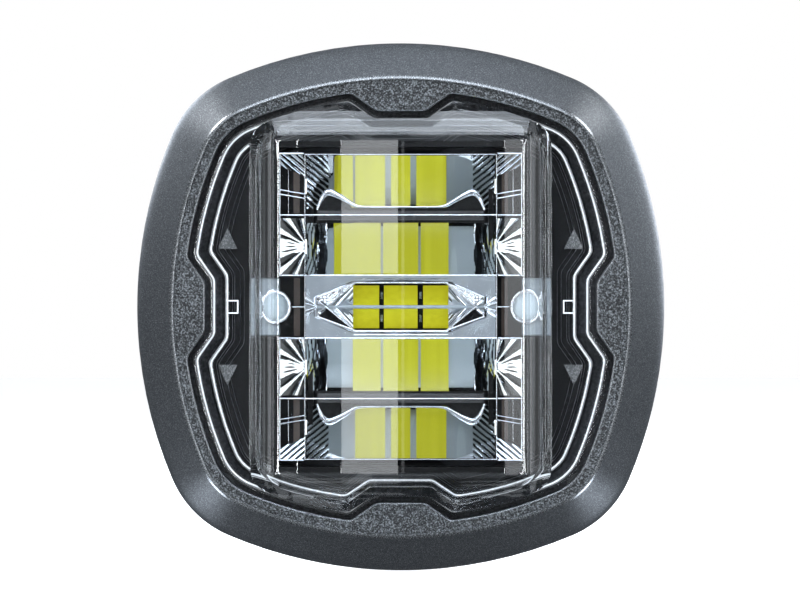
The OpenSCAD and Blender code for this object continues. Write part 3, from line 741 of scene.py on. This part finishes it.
def dome_columns():
    """Where columns cut the dome's front: close together at its creases and across its crest."""
    creases = [at + d for at in FACETS for d in (-0.2, 0.0, 0.2)]
    between = [3.4, 4.2, 4.9, 5.6, 6.6, 7.6, 8.6, 9.4, 12.6, 14.0, 15.6, 17.0, 20.2, 21.5, FRONT_HALF]
    mirrored = {round(s * v, 3) for s in (-1, 1) for v in creases + between}
    return sorted(mirrored | {round(v, 3) for v in (-2.4, *spread(*CREST, 19))})


def dome_edge(columns, rows, t):
    """Pairs of points around the dome, one on its front's edge and one on its foot, at a depth t."""
    corner = bend((DOME_HALF - t, 26), (DOME_HALF - 0.4 - t, 31.9 - t), (18, 34.8 - t), 3.6, 7)
    along = corner[-1][0] / FRONT_HALF
    side_k = corner[0][1] / FRONT_UP

    def turned(pairs, sx, su):
        return [((sx * a[0], su * a[1]), (sx * b[0], su * b[1])) for a, b in pairs]

    side = [((FRONT_HALF, up), (DOME_HALF - t, up * side_k)) for up in rows[1:-1]]
    bow = [((FRONT_HALF, FRONT_UP), point) for point in corner]
    top = [((x, FRONT_UP), (x * along, contour_up(x * along, RIB_1 + t))) for x in columns[1:-1]]
    upper = side + bow + top[::-1] + turned(bow, -1, 1)[::-1] + turned(side, -1, 1)[::-1]
    return upper + turned(bow, -1, -1) + turned(top, 1, -1) + turned(bow, 1, -1)[::-1]


def dome_surface(t):
    """The dome's front and its rolled side down to its foot, at a depth t below its outside."""
    wide, high, fall = DOME_HALF - FRONT_HALF - t, 7.4 - t, 7.0 - t * 0.8
    columns, rows, turns = dome_columns(), spread(-FRONT_UP, FRONT_UP, 21), 12

    def height(x, up):
        r = math.hypot(max(0, abs(x) - FRONT_HALF) / wide, max(0, abs(up) - FRONT_UP) / high)
        return front(x) - t - fall * (1 - math.sqrt(1 - min(r, 1) ** 2))

    edge = dome_edge(columns, rows, t)
    rings = []
    for k in range(turns + 1):
        s = math.sin(math.pi / 2 * k / turns)
        points = [(mix(a[0], b[0], s), mix(a[1], b[1], s)) for a, b in edge]
        rings.append([(x, up, height(x, up)) for x, up in points])
    rings.append([(x, up, (out + FLANGE_TOP) / 2) for x, up, out in rings[-1]])
    rings.append([(x, up, FLANGE_TOP + 0.02) for x, up, _ in rings[-1]])
    return grid(columns, rows, height), rings


def build_dome():
    """The hollow dome, with a bead around its foot that gets the painted glint, and hard creases between its
    facets.
    """
    outer_face, outer = dome_surface(0.0)
    inner_face, inner = dome_surface(DOME_T)
    shell = strips(outer + inner[::-1], False)
    verts, faces = merge([outer_face, inner_face, shell])
    foot = bead([(x, up) for x, up, _ in outer[-1]], 0.13, FLANGE_TOP)
    kinds = [0] * len(faces) + [1] * len(foot[1])
    verts, faces = merge([(verts, faces), foot])

    def on_facet(edge):
        lines = [round(abs(v.co.x) / MM, 2) for v in edge.verts]
        return lines[0] == lines[1] and lines[0] in FACETS

    return make("lens_dome", verts, faces, [CLEAR, PAINTED_GLINT], kinds, 28, "lamp", on_facet)


def build_lens():
    rim = build_flange()
    dome = build_dome()
    for piece in (rim, dome):
        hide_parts("lens")


# ---------- inner mask ----------


def window_reach(x, y):
    """Scale that brings the direction (x, y) onto the mask's window with its two ear slots."""
    def box(w, h):
        return min(w / max(abs(x), 1e-6), h / max(abs(y), 1e-6))
    return max(box(*WINDOW), box(EAR_OUT, EAR_HALF))


def mask_walls():
    """Walls that stand on the mask around the mirrors, open beside the ears."""
    walls = []
    near, far = (22.25, 23.25), (28.55, 29.55)
    for s in (-1, 1):
        for up in ((EAR_HALF, WINDOW[1]), (-WINDOW[1], -EAR_HALF)):
            walls.append(block(sorted((s * near[0], s * near[1])), up, (MASK_OUT, WALL_OUT)))
        walls.append(block((-near[1], near[1]), sorted((s * far[0], s * far[1])), (MASK_OUT, WALL_OUT)))
    return walls


def mask_arrow(x, sign):
    """A raised triangle that points away from the middle of its side."""
    corners = [(-1.75, 10.4), (1.75, 10.4), (0, 14.1)]
    points = [(x + dx, sign * up, out) for out in (MASK_OUT, MASK_OUT + 0.3) for dx, up in corners]
    return points, [(0, 1, 4, 3), (1, 2, 5, 4), (2, 0, 3, 5), (3, 4, 5), (0, 2, 1)]


def build_mask():
    """The black plate around the mirrors; its steps follow the lens, and the steps' small walls are painted
    lighter as painted highlights.
    """
    section = [(12.3, MASK_LOW), (12.3, 6.1), (12.4, 6.2), (13.5, 6.2), (13.56, 6.42), (13.9, 6.42)]
    section += [(13.96, 6.2), (14.9, 6.2), (14.96, 5.75), (15.6, 5.75), (15.66, MASK_OUT), (16.2, MASK_OUT)]
    rings = [section_ring(i, out, True) for i, out in section]
    edge = []
    for x, y in outline(14.7, True):
        k = window_reach(x, y)
        edge.append((x * k, y * k))
    rings += [[(x, y, out) for x, y in edge] for out in (MASK_OUT, MASK_LOW)]
    plate = strips(rings, True)
    # Painted highlight: the steps' small walls get the lighter black.
    kinds = [int(k in (3, 5, 7, 9)) for k in range(len(rings)) for _ in rings[0]]
    verts, faces = merge([plate, *mask_walls()])
    kinds += [0] * (len(faces) - len(kinds))
    mask = make("mask_plate", verts, faces, [BLACK, BLACK_HIGHLIGHT], kinds, 30)
    verts, faces = merge([mask_arrow(x, sign) for x in (-31.1, 31.1) for sign in (-1, 1)])
    marks = make("mask_arrows", verts, faces, [MASK_SAND], None, 30)
    for piece in (mask, marks):
        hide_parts("inner_mask")


# ---------- mirrors ----------


def flute_phase(x, u):
    """Phase of the diagonal flutes, x from the middle and u from a row's focal line."""
    return (0.775 * u - 0.63 * x) * FLUTE_PITCH


def row_height(x, u, outer, upper):
    """Height of a trough over its light bars; an outer row's ends are fluted, an inner row's folded."""
    base = FOCUS_OUT + u * u / (4 * FOCAL) - FOCAL
    far = clamp(abs(x) - 8.6, 0, 3.4)
    turned = 0.03 * max(0.0, abs(x) - 10.8) ** 2
    if upper and x < 0:
        turned = 0.17 * far + 0.05 * far * far + 0.2 * max(0.0, -x - 12.0)
    x = abs(x)
    if outer:
        wave = 0.06 * math.sin(flute_phase(x, u)) * smooth((x - 12.4) / 0.8)
        return min(base + turned + wave, RIM_OUT + 0.5)
    bent = x + 0.3 * math.sin(u * 0.8)
    fold = 1.1 * clamp(bent - 14.9, 0, 0.8) - 0.75 * clamp(bent - 13.4, 0, 1.4) + 0.4 * max(0.0, bent - 15.7)
    fine = 0.03 * math.sin(x * 9.0 + 1.5 * math.sin(u * 0.9)) * smooth((x - 13.2) / 0.8)
    return min(base + turned + fold + fine, RIM_OUT + 0.5)


def streak(x, up):
    """True on the shaded side of the diagonal flutes."""
    return x > 12.9 and math.sin(flute_phase(x, abs(up) - BLADE_UP - FOCUS_OFF)) < -0.1


def column(x, up):
    """True in the wavy shaded column near the ends of rows two and four."""
    bent = x + 0.3 * math.sin((abs(up) - BLADE_UP + FOCUS_OFF) * 0.8)
    return 13.3 < bent < 14.8 or (bent > 14.8 and math.sin(bent * 9.5 + up) < -0.5)


def half_row(sign, start, reach, outer):
    """Half a trough from its focal line at start, outwards for an outer row, else towards the middle."""
    direction = 1 if outer else -1
    xs = spread(-HALF_LONG, HALF_LONG, 225)
    rings = []
    for u in spread(0.0, reach, 41):
        up = sign * (start + direction * u)
        rings.append([(x, up, row_height(x, u, outer, sign > 0)) for x in xs])
    return strips(rings, False, False)


def tube(path, out, count=9):
    """A raised half-round strip along (x, up, half width) points."""
    rings = []
    for k, (x, up, half) in enumerate(path):
        ax, ay, _ = path[max(k - 1, 0)]
        bx, by, _ = path[min(k + 1, len(path) - 1)]
        d = math.hypot(bx - ax, by - ay)
        nx, ny = -(by - ay) / d, (bx - ax) / d
        ring = [(x - nx * half, up - ny * half, out - TUBE_ROOT)]
        for a in spread(-math.pi / 2, math.pi / 2, count):
            s, c = math.sin(a) * half, math.cos(a) * half
            ring.append((x + nx * s, up + ny * s, out - half + c))
        ring.append((x + nx * half, up + ny * half, out - TUBE_ROOT))
        rings.append(ring)
    return strips(rings, False, False)


def level(low, high, up, half, out, count=9):
    """A straight tube across at one height."""
    return tube([(x, up, half) for x in spread(low, high, count)], out)


def smooth_path(points, steps=8):
    """Catmull-Rom points through (x, up, half width) triples."""
    out = []
    for k in range(len(points) - 1):
        p = [points[max(k - 1, 0)], points[k], points[k + 1], points[min(k + 2, len(points) - 1)]]
        for t in spread(0, 1, steps + 1)[:-1]:
            w = (-t**3 + 2 * t * t - t, 3 * t**3 - 5 * t * t + 2, -3 * t**3 + 4 * t * t + t, t**3 - t * t)
            out.append(tuple(sum(w[i] * p[i][j] for i in range(4)) / 2 for j in range(3)))
    out.append(points[-1])
    return out


# Half of a lip from the middle to its tip: across, up and half width.
LIP = [(0, 17.8, 0.17), (4, 17.8, 0.17), (7.0, 17.85, 0.2), (8.2, 18.1, 0.32), (9.6, 18.9, 0.44),
       (11.2, 19.8, 0.56), (12.8, 20.4, 0.7), (13.8, 19.7, 0.5), (14.5, 18.4, 0.3), (14.9, 17.3, 0.2)]


def lips(sign):
    """The chrome lip beside a blade, flaring round a black hollow at each end."""
    half = smooth_path(LIP)
    left = [(-x, up, w) for x, up, w in reversed(half[1:])]
    return tube([(x, sign * up, w) for x, up, w in left + half], LIP_OUT)


def hollows(sign):
    """Thin black plates beside a blade and under its lip's flares, which paint the shade of the hollows there.
    """
    beside = ((17.1, 17.65), (15.0, 15.5))
    parts = [block((-15, 15), sorted((sign * a, sign * b)), HOLLOW_OUT) for a, b in beside]
    corners = [(8.6, 17.6), (14.8, 17.6), (14.4, 18.4), (13.5, 19.6), (12.5, 20.2), (11.2, 19.6), (9.6, 18.8)]
    n = len(corners)
    walls = [(i, (i + 1) % n, n + (i + 1) % n, n + i) for i in range(n)]
    for side in (-1, 1):
        points = [(side * x, sign * up, out) for out in HOLLOW_OUT for x, up in corners]
        parts.append((points, [tuple(range(n)), tuple(range(n, 2 * n)), *walls]))
    return merge(parts)


def frame_bars():
    """Bright edges between and around the rows."""
    bars = []
    for s in (-1, 1):
        for up, half in ((5.6, 0.15), (16.35, 0.12), (27.15, 0.05)):
            bars.append(level(-17, 17, s * up, half, RIM_OUT))
        bars.append(tube([(s * 17.05, up, 0.055) for up in spread(-27.2, 27.2, 9)], RIM_OUT + 0.3))
    return merge(bars)


def eye_rings():
    """Row three's opening: a long hexagon whose walls fall towards the light bars."""
    (ax, ay), (bx, by) = EYE
    outer = [(-ax, -ay), (ax, -ay), (bx, -by), (bx, by), (ax, ay), (-ax, ay), (-bx, by), (-bx, -by)]
    points = []
    for k, p in enumerate(outer):
        q = outer[(k + 1) % 8]
        points += [(mix(p[0], q[0], t), mix(p[1], q[1], t)) for t in spread(0, 1, 13)[:-1]]
    return points


def build_eye():
    """Row three's wall with its rounded rim, and the floor from there to the rows beside it."""
    edge = eye_rings()
    rings = []
    wall = ((0.0, 8.0), (0.0, 15.2), (0.06, 15.6), (0.2, 15.8), (0.4, 15.8), (0.55, 15.65), (0.65, 15.4))
    for grow, out in wall:
        scales = [1 + grow / math.hypot(x, up) for x, up in edge]
        rings.append([(x * k, up * k, out) for (x, up), k in zip(edge, scales)])
    flat = []
    for x, up in edge:
        k = 1 + 0.65 / math.hypot(x, up)
        reach = max(min(16.9 / max(abs(x), 1e-6), 5.45 / max(abs(up), 1e-6)), k)
        flat.append(((x * k, up * k), (x * reach, up * reach)))
    face = []
    for t in spread(0, 1, 9):
        row = [(mix(a[0], b[0], t), mix(a[1], b[1], t)) for a, b in flat]
        face.append([(x, up, 15.0 + 0.16 * abs(up) + 0.03 * math.sin(x * 1.7)) for x, up in row])
    return merge([strips(rings, False), strips(face, False)])


def build_wings():
    """Shallow chrome floors that close the ends of row three."""
    parts = []
    for side in (-1, 1):
        xs = [side * v for v in spread(8.5, 15.2, 61)]

        def height(x, up):
            crease = 0.35 * abs(math.sin((abs(x) - 8.6) * 0.55 + abs(up) * 0.5)) ** 6
            return 13.9 + 0.1 * abs(up) + 0.04 * (abs(x) - 9) + crease

        parts.append(grid(xs, spread(-4.1, 4.1, 61), height))
    return merge(parts)


# Bright crossing edges at an end of row three: from, to and half width.
EYE_EDGES = [
    ((8.2, 4.15), (14.9, 1.7), 0.12),
    ((8.3, 4.1), (13.1, 0.2), 0.13),
    ((13.1, 0.2), (14.9, -1.2), 0.1),
    ((14.9, 0.2), (17.0, 1.6), 0.1),
    ((14.9, 0.0), (17.0, 0.7), 0.08),
]


def eye_lines():
    """The crossing edges at both ends of row three, and two rails above and below it."""
    parts = []
    for side in (-1, 1):
        for sign in (-1, 1):
            for a, b, half in EYE_EDGES:
                points = [(mix(a[0], b[0], t), mix(a[1], b[1], t)) for t in spread(0, 1, 4)]
                parts.append(tube([(side * x, sign * up, half) for x, up in points], CROSS_OUT))
    for sign in (-1, 1):
        for up, half in ((4.3, 0.16), (4.95, 0.08)):
            parts.append(level(-8.4, 8.4, sign * up, half, CROSS_OUT))
    return merge(parts)


def eye_wedges(sign):
    """The creased triangles between two of those edges, one at each end."""
    parts = []
    for side in (-1, 1):
        a, b, c = (8.4, 4.1), (14.8, 1.75), (13.1, 0.25)
        rings = []
        for t in spread(0, 1, 25):
            p = (mix(a[0], b[0], t), mix(a[1], b[1], t))
            q = (mix(a[0], c[0], t), mix(a[1], c[1], t))
            ring = []
            for w in spread(0, 1, 9):
                x, up = mix(p[0], q[0], w), mix(p[1], q[1], w)
                ring.append((side * x, sign * up, 15.7 + 0.12 * math.sin(x * 5.1) * math.sin(up * 6.3)))
            rings.append(ring)
        parts.append(strips(rings[1:], False, False))
    return merge(parts)


def build_reflector_center():
    """The mirror bank, its bright edges with a grey bar across row three, and black plates painted as shade in
    its hollows and on row three's lower wedges.
    """
    parts, kinds = [], []
    halves = ((BLADE_UP + FOCUS_OFF, 9.4, True, streak), (BLADE_UP - FOCUS_OFF, 9.3, False, column))
    for sign in (-1, 1):
        for start, reach, outer, rule in halves:
            parts.append(half_row(sign, start, reach, outer))
            kinds += face_kinds(parts[-1], rule)
    parts += [build_eye(), build_wings(), lips(-1), lips(1), eye_wedges(1)]
    verts, faces = merge(parts)
    kinds += [0] * (len(faces) - len(kinds))
    piece = make("mirror_bank", verts, faces, [MIRROR, SHADE], kinds, 40)
    bright, bar = merge([frame_bars(), eye_lines()]), level(-17, 17, 0.0, 0.3, LIP_OUT, 17)
    marks = [0] * len(bright[1]) + [1] * len(bar[1])
    rims = make("mirror_rims", *merge([bright, bar]), [RIM, EAR], marks, 60)
    # Painted shade: the hollows and row three's lower wedges are black, while the upper wedges stay chrome.
    dark = make("mirror_painted_shade", *merge([hollows(-1), hollows(1), eye_wedges(-1)]), [BLACK], None, 30)
    for part in (piece, rims, dark):
        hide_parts("reflector_center")


def cup_height(dx, dy):
    """Height of a fluted paraboloid at a distance (dx, dy) from its side LED."""
    turn = math.atan2(dy, dx + 0.6)
    rho = math.hypot(dx, dy)
    ripple = 0.14 * math.sin(turn * CUP_FLUTES) * smooth(rho / 2.5)
    return min(CUP_FOCUS + rho * rho / (4 * CUP_FOCAL) - CUP_FOCAL + ripple, CUP_RIM + 0.8)


def flute(middle, x, up):
    """True on the shaded flutes of a side cup, which leave its middle bright."""
    dx, dy = x - CUP_X, up - middle
    turn = math.atan2(dy, dx + 0.6)
    return abs(dy) > 0.9 + 0.12 * dx and math.sin(turn * CUP_FLUTES) < 0.3


def fan_floor(x):
    """Height above the middle where a corner fan starts, at a distance x from the middle."""
    return mix(23.4, 25.2, (x - 17.2) / 4.4)


def corner_fan(side, sign):
    """Diagonal flutes that fill the outer corner of a side column."""
    rings = []
    for t in spread(0, 1, 31):
        ring = []
        for x in spread(SIDE_IN, SIDE_OUT, 45):
            up = mix(fan_floor(x), BANK_UP, t)
            wave = 0.07 * math.sin(flute_phase(x, up - BLADE_UP - FOCUS_OFF))
            ring.append((side * x, sign * up, 12.6 + 1.6 * t + 0.1 * (x - 17) + wave))
        rings.append(ring)
    return strips(rings, False, False)


def wells(side, add):
    """The open wells beside rows one, three and five: a black floor, a brown strip and a thin bar."""
    for low, high, out in ((-BANK_UP, -16.4, 9.0), (-5.2, 5.2, 5.25), (16.4, BANK_UP, 9.0)):
        add(block(sorted((side * CUP_X, side * SIDE_OUT)), (low, high), (4.7, out)), 1)
        add(block(sorted((side * 18.1, side * 19.2)), (low, high), (out, out + 0.2)), 2)
        if high != -low:
            add(tube([(side * 20.1, up, 0.06) for up in spread(low, high, 5)], 10.4), 3)


def side_bars(side, add):
    """Bright bars: two slanted ones in each outer well, one in the middle, and the column's edges."""
    for sign in (-1, 1):
        for foot in (20.2, 19.4):
            path = [(side * x, sign * (foot + (x - 17.2) * 0.17), 0.1) for x in spread(17.2, 21.6, 5)]
            add(tube(path, 12.4), 3)
        edge = [(side * (SIDE_OUT - 0.12), sign * up, 0.09) for up in spread(5.5, 27.4, 9)]
        add(tube(edge, CUP_RIM + 0.3), 3)
    add(level(side * 17.2, side * 19.4, 0.0, 0.1, 12.4, 5), 3)
    for up in (-27.35, -16.35, -5.6, 5.6, 16.35, 27.35):
        add(level(side * CUP_X, side * SIDE_OUT, up, 0.13, CUP_RIM, 5), 3)


def side_mirror(side):
    """One column of side cups with its wells, corner fans and bars, and the ear behind its screw."""
    name = "right" if side > 0 else "left"
    parts, kinds = [], []

    def add(part, kind, rule=None):
        """Takes a part in one of the materials listed below; faces that the rule picks get the last one."""
        parts.append(part)
        kinds.extend([4 * k for k in face_kinds(part, rule)] if rule else [kind] * len(part[1]))

    xs = [side * v for v in spread(SIDE_IN, SIDE_OUT, 37)]
    for middle in (-ROW, ROW):
        ups = spread(middle - CUP_HALF, middle + CUP_HALF, 65)
        cup = grid(xs, ups, lambda x, up: cup_height(abs(x) - CUP_X, up - middle))
        add(cup, 0, partial(flute, middle))
    for sign in (-1, 1):
        add(corner_fan(side, sign), 0, streak)
    wells(side, add)
    side_bars(side, add)
    verts, faces = merge(parts)
    piece = make("side_mirror_" + name, verts, faces, [MIRROR, BLACK, BROWN, RIM, SHADE], kinds, 50)
    plate = block(sorted((side * 21.7, side * 26.5)), (-5.2, 5.2), (4.7, 5.3))
    ear = make("mirror_ear_" + name, *plate, [EAR], None, 30)
    soften(ear, 0.25)
    for part in (piece, ear):
        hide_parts("reflector_" + name)


def disc(x, up, section, count=64):
    """A turned piece from (radius, out) pairs."""
    rings = []
    for r, out in section:
        angles = spread(0, math.tau, count + 1)[:-1]
        rings.append([(x + r * math.cos(a), up + r * math.sin(a), out) for a in angles])
    return strips(rings, False)


def build_screws():
    """The mirror screws: a matt face inside a groove and a bright rounded rim."""
    section = [(0.0, 6.28), (2.35, 6.28), (2.45, 6.24), (2.52, 6.05), (2.62, 6.05), (2.68, 6.26), (2.95, 6.3)]
    section += [(3.12, 6.22), (3.2, 6.02), (3.2, 5.35), (1.5, 5.35), (1.5, 1.8), (0.0, 1.8)]
    heads = [disc(x, 0, section) for x in (-SCREW_X, SCREW_X)]
    per_ring = len(heads[0][1]) // (len(section) - 1)
    kinds = [k for k in (0, 0, 1, 1, 2, 2, 2, 2, 1, 1, 1, 1) for _ in range(per_ring)]
    verts, faces = merge(heads)
    piece = make("mirror_screws", verts, faces, [SCREW, STEEL, RIM], kinds * 2, 35)
    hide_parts("reflector_screws")


# ---------- materials of the CAD pieces that stay ----------

KEPT = {
    "bezel_bushes": plastic_material("nylon", (0.03, 0.03, 0.032), 0.4),
    "mount_gasket": RUBBER,
    "mount_flange": CAST,
    "rear_cup": CAST,
    "heat_sink": CAST,
    "heat_sink_screws": STEEL,
    "lens_seal": RUBBER,
    "heat_spreader": metal_material("dark_anodised", (0.03, 0.031, 0.034), 0.45, 0.8, 0.02, (1, 1, 0.1)),
    "spreader_screws": STEEL,
    "thermal_pads": plastic_material("gap_pad", (0.2, 0.26, 0.3), 0.8),
    "blade_board_upper": BOARD_BLACK,
    "blade_board_lower": BOARD_BLACK,
    "blade_phosphors": PHOSPHOR,
    "center_wedge": ALUMINIUM,
    "center_boards": BLACK,
    "center_phosphors": PHOSPHOR,
    "center_jumpers": STEEL,
    "side_board_left": BLACK,
    "side_board_right": BLACK,
    "side_leds": led_material(),
    "driver_board": BOARD_GREEN,
    "driver_screws": STEEL,
    "inductors": plastic_material("ferrite", (0.05, 0.05, 0.055), 0.6),
    "capacitors": plastic_material("can_blue", (0.03, 0.045, 0.16), 0.3),
    "driver_chips": plastic_material("chip_black", (0.015, 0.015, 0.015), 0.5),
    "terminal_block": plastic_material("white_pa", (0.7, 0.7, 0.66), 0.4),
    "cable_gland": plastic_material("black_pa", (0.02, 0.021, 0.023), 0.42),
    "gland_washer": RUBBER,
    "gland_seal": RUBBER,
    "vent_membrane": plastic_material("membrane", (0.8, 0.8, 0.8), 0.9),
    "vent_o_ring": RUBBER,
}
for name in ("gland_locknut", "gland_nut", "vent_plug"):
    KEPT[name] = KEPT["cable_gland"]


def smooth_cad(node):
    """Rounds the shading of a CAD mesh where its faces meet at a shallow angle."""
    weld = node.modifiers.new("weld", "WELD")
    weld.merge_threshold = 0.000001
    node.data.shade_smooth()
    split = node.modifiers.new("sharp_edges", "EDGE_SPLIT")
    split.split_angle = math.radians(30)


def finish_cad_nodes():
    for name, material in KEPT.items():
        node = nodes[name]
        node.data.materials.clear()
        node.data.materials.append(material)
        smooth_cad(node)


# ---------- stage, light and camera ----------


def area(name, place, size, power, color=(1, 1, 1), target=(0, 0, 0)):
    light = bpy.data.lights.new(name, "AREA")
    light.shape = "RECTANGLE"
    light.size, light.size_y = size
    light.energy = power
    light.color = color
    piece = bpy.data.objects.new(name, light)
    piece.location = place
    aim = Vector(target) - Vector(place)
    piece.rotation_euler = aim.to_track_quat("-Z", "Y").to_euler()
    scene.collection.objects.link(piece)
    return piece


def build_lights():
    cool, pale = (0.82, 0.9, 1.0), (0.94, 0.97, 1.0)
    area("top_softbox", (0, -0.12, 0.8), (0.8, 0.5), 5.5, cool)
    area("upper_left", (-0.62, 0.12, 0.62), (0.22, 0.22), 3.4, pale)
    area("upper_right", (0.62, 0.12, 0.6), (0.22, 0.22), 3.4, pale)
    area("lower_left", (-0.62, 0.14, -0.58), (0.24, 0.24), 2.8, cool)
    area("lower_right", (0.62, 0.14, -0.58), (0.24, 0.24), 2.8, cool)
    area("facet_card_upper", (-0.135, -1.2, 0.13), (0.075, 0.24), 0.16, pale)
    area("facet_card_lower", (-0.135, -1.2, -0.132), (0.075, 0.24), 0.16, pale)
    area("crest_soft", (-0.03, -1.2, 0), (0.04, 0.4), 0.035, pale)
    area("ridge_soft", (-0.225, -1.2, 0), (0.05, 0.5), 0.6, pale)
    area("ridge_card", (-0.34, -1.15, 0), (0.06, 0.5), 2.6, pale)
    area("outer_card", (0.48, -1.15, 0), (0.11, 0.6), 0.35, pale)
    area("side_left", (-0.9, -0.5, 0), (0.7, 0.9), 1.3, pale)
    area("side_right", (0.9, -0.5, 0), (0.7, 0.9), 1.9, pale)
    area("rear_left", (-0.7, 0.95, 0.5), (0.6, 0.6), 9, cool)
    area("rear_right", (0.8, 0.9, 0.3), (0.6, 0.6), 9, cool)
    area("top_line", (0, -0.85, 0.62), (1.2, 0.02), 0.5, pale)
    area("right_card", (0.36, -1.15, 0), (0.05, 0.5), 1.4, pale)
    area("front_left", (-0.75, -0.9, 0.3), (0.1, 0.9), 1.0, pale)
    area("front_right", (0.75, -0.9, 0.25), (0.1, 0.9), 0.8, pale)
    area("front_top", (0.0, -0.66, 0.78), (0.9, 0.66), 9, cool)


def build_world():
    """White behind the lamp for the camera, and a patchy studio for what its surfaces mirror."""
    sky = bpy.data.worlds.new("studio")
    scene.world = sky
    sky.use_nodes = True
    sky.node_tree.nodes.clear()
    w = Nodes(sky.node_tree)
    direction = w.node("TexCoord").outputs["Generated"]
    toward = w.split(direction)
    patches = w.node("TexNoise", Scale=3.4, Detail=1.0)
    w.link(direction, patches.inputs["Vector"])
    black, dusk, day, white = (0.012, 0.012, 0.014), (0.1, 0.11, 0.12), (0.5, 0.54, 0.58), (1.5, 1.6, 1.7)
    studio = w.ramp(patches.outputs["Fac"], [(0.44, black), (0.5, dusk), (0.56, day), (0.6, white)], "EASE")
    height = w.node("Math")
    height.operation = "ABSOLUTE"
    w.link(toward["Z"], height.inputs[0])
    bands = [(0.13, (0.02, 0.022, 0.025)), (0.2, (0.5, 0.56, 0.62))]
    bands += [(0.34, (0.42, 0.47, 0.52)), (0.42, (0.05, 0.055, 0.06))]
    ahead = w.ramp(height.outputs["Value"], bands, "EASE")
    studio = w.blend(w.span(toward["Y"], -0.88, -0.93), studio, ahead)
    studio = w.blend(w.span(toward["Y"], 0.2, -0.25), (0.05, 0.053, 0.058), studio)
    dim = w.node("Background")
    w.link(studio, dim.inputs["Color"])
    plain = w.node("Background", Color=(1, 1, 1, 1))
    sky_shader = w.by_ray("Is Camera Ray", dim.outputs["Background"], plain.outputs["Background"])
    w.link(sky_shader, w.node("OutputWorld").inputs["Surface"])


def build_floor():
    low = cad_box[0].z - 0.0006
    mesh = bpy.data.meshes.new("floor")
    w = 3.0
    mesh.from_pydata([(-w, -w, low), (w, -w, low), (w, w, low), (-w, w, low)], [], [(0, 1, 2, 3)])
    floor = bpy.data.objects.new("floor", mesh)
    scene.collection.objects.link(floor)
    m = Shader("floor_white", (0.9, 0.9, 0.9), 0.8, Emission_Color=(1, 1, 1, 1), Emission_Strength=0.75)
    m.color(m.noise(60), [(0.3, (0.88, 0.88, 0.88)), (0.7, (0.92, 0.92, 0.92))])
    mesh.materials.append(m.material)
    floor.visible_glossy = False
    floor.visible_diffuse = False
    floor.visible_transmission = False
    floor.visible_shadow = False


def build_camera():
    camera = bpy.data.cameras.new("camera")
    camera.lens = 299
    camera.sensor_width = 36
    camera.clip_end = 20
    piece = bpy.data.objects.new("camera", camera)
    piece.location = (-0.00013, -1.2, 0.00123)
    piece.rotation_euler = (math.pi / 2, 0, 0)
    scene.collection.objects.link(piece)
    scene.camera = piece


build_camera()
build_bezel()
build_lens()
build_mask()
build_reflector_center()
side_mirror(-1)
side_mirror(1)
build_screws()
finish_cad_nodes()
build_floor()
build_lights()
build_world()
scene.view_settings.view_transform = "Standard"
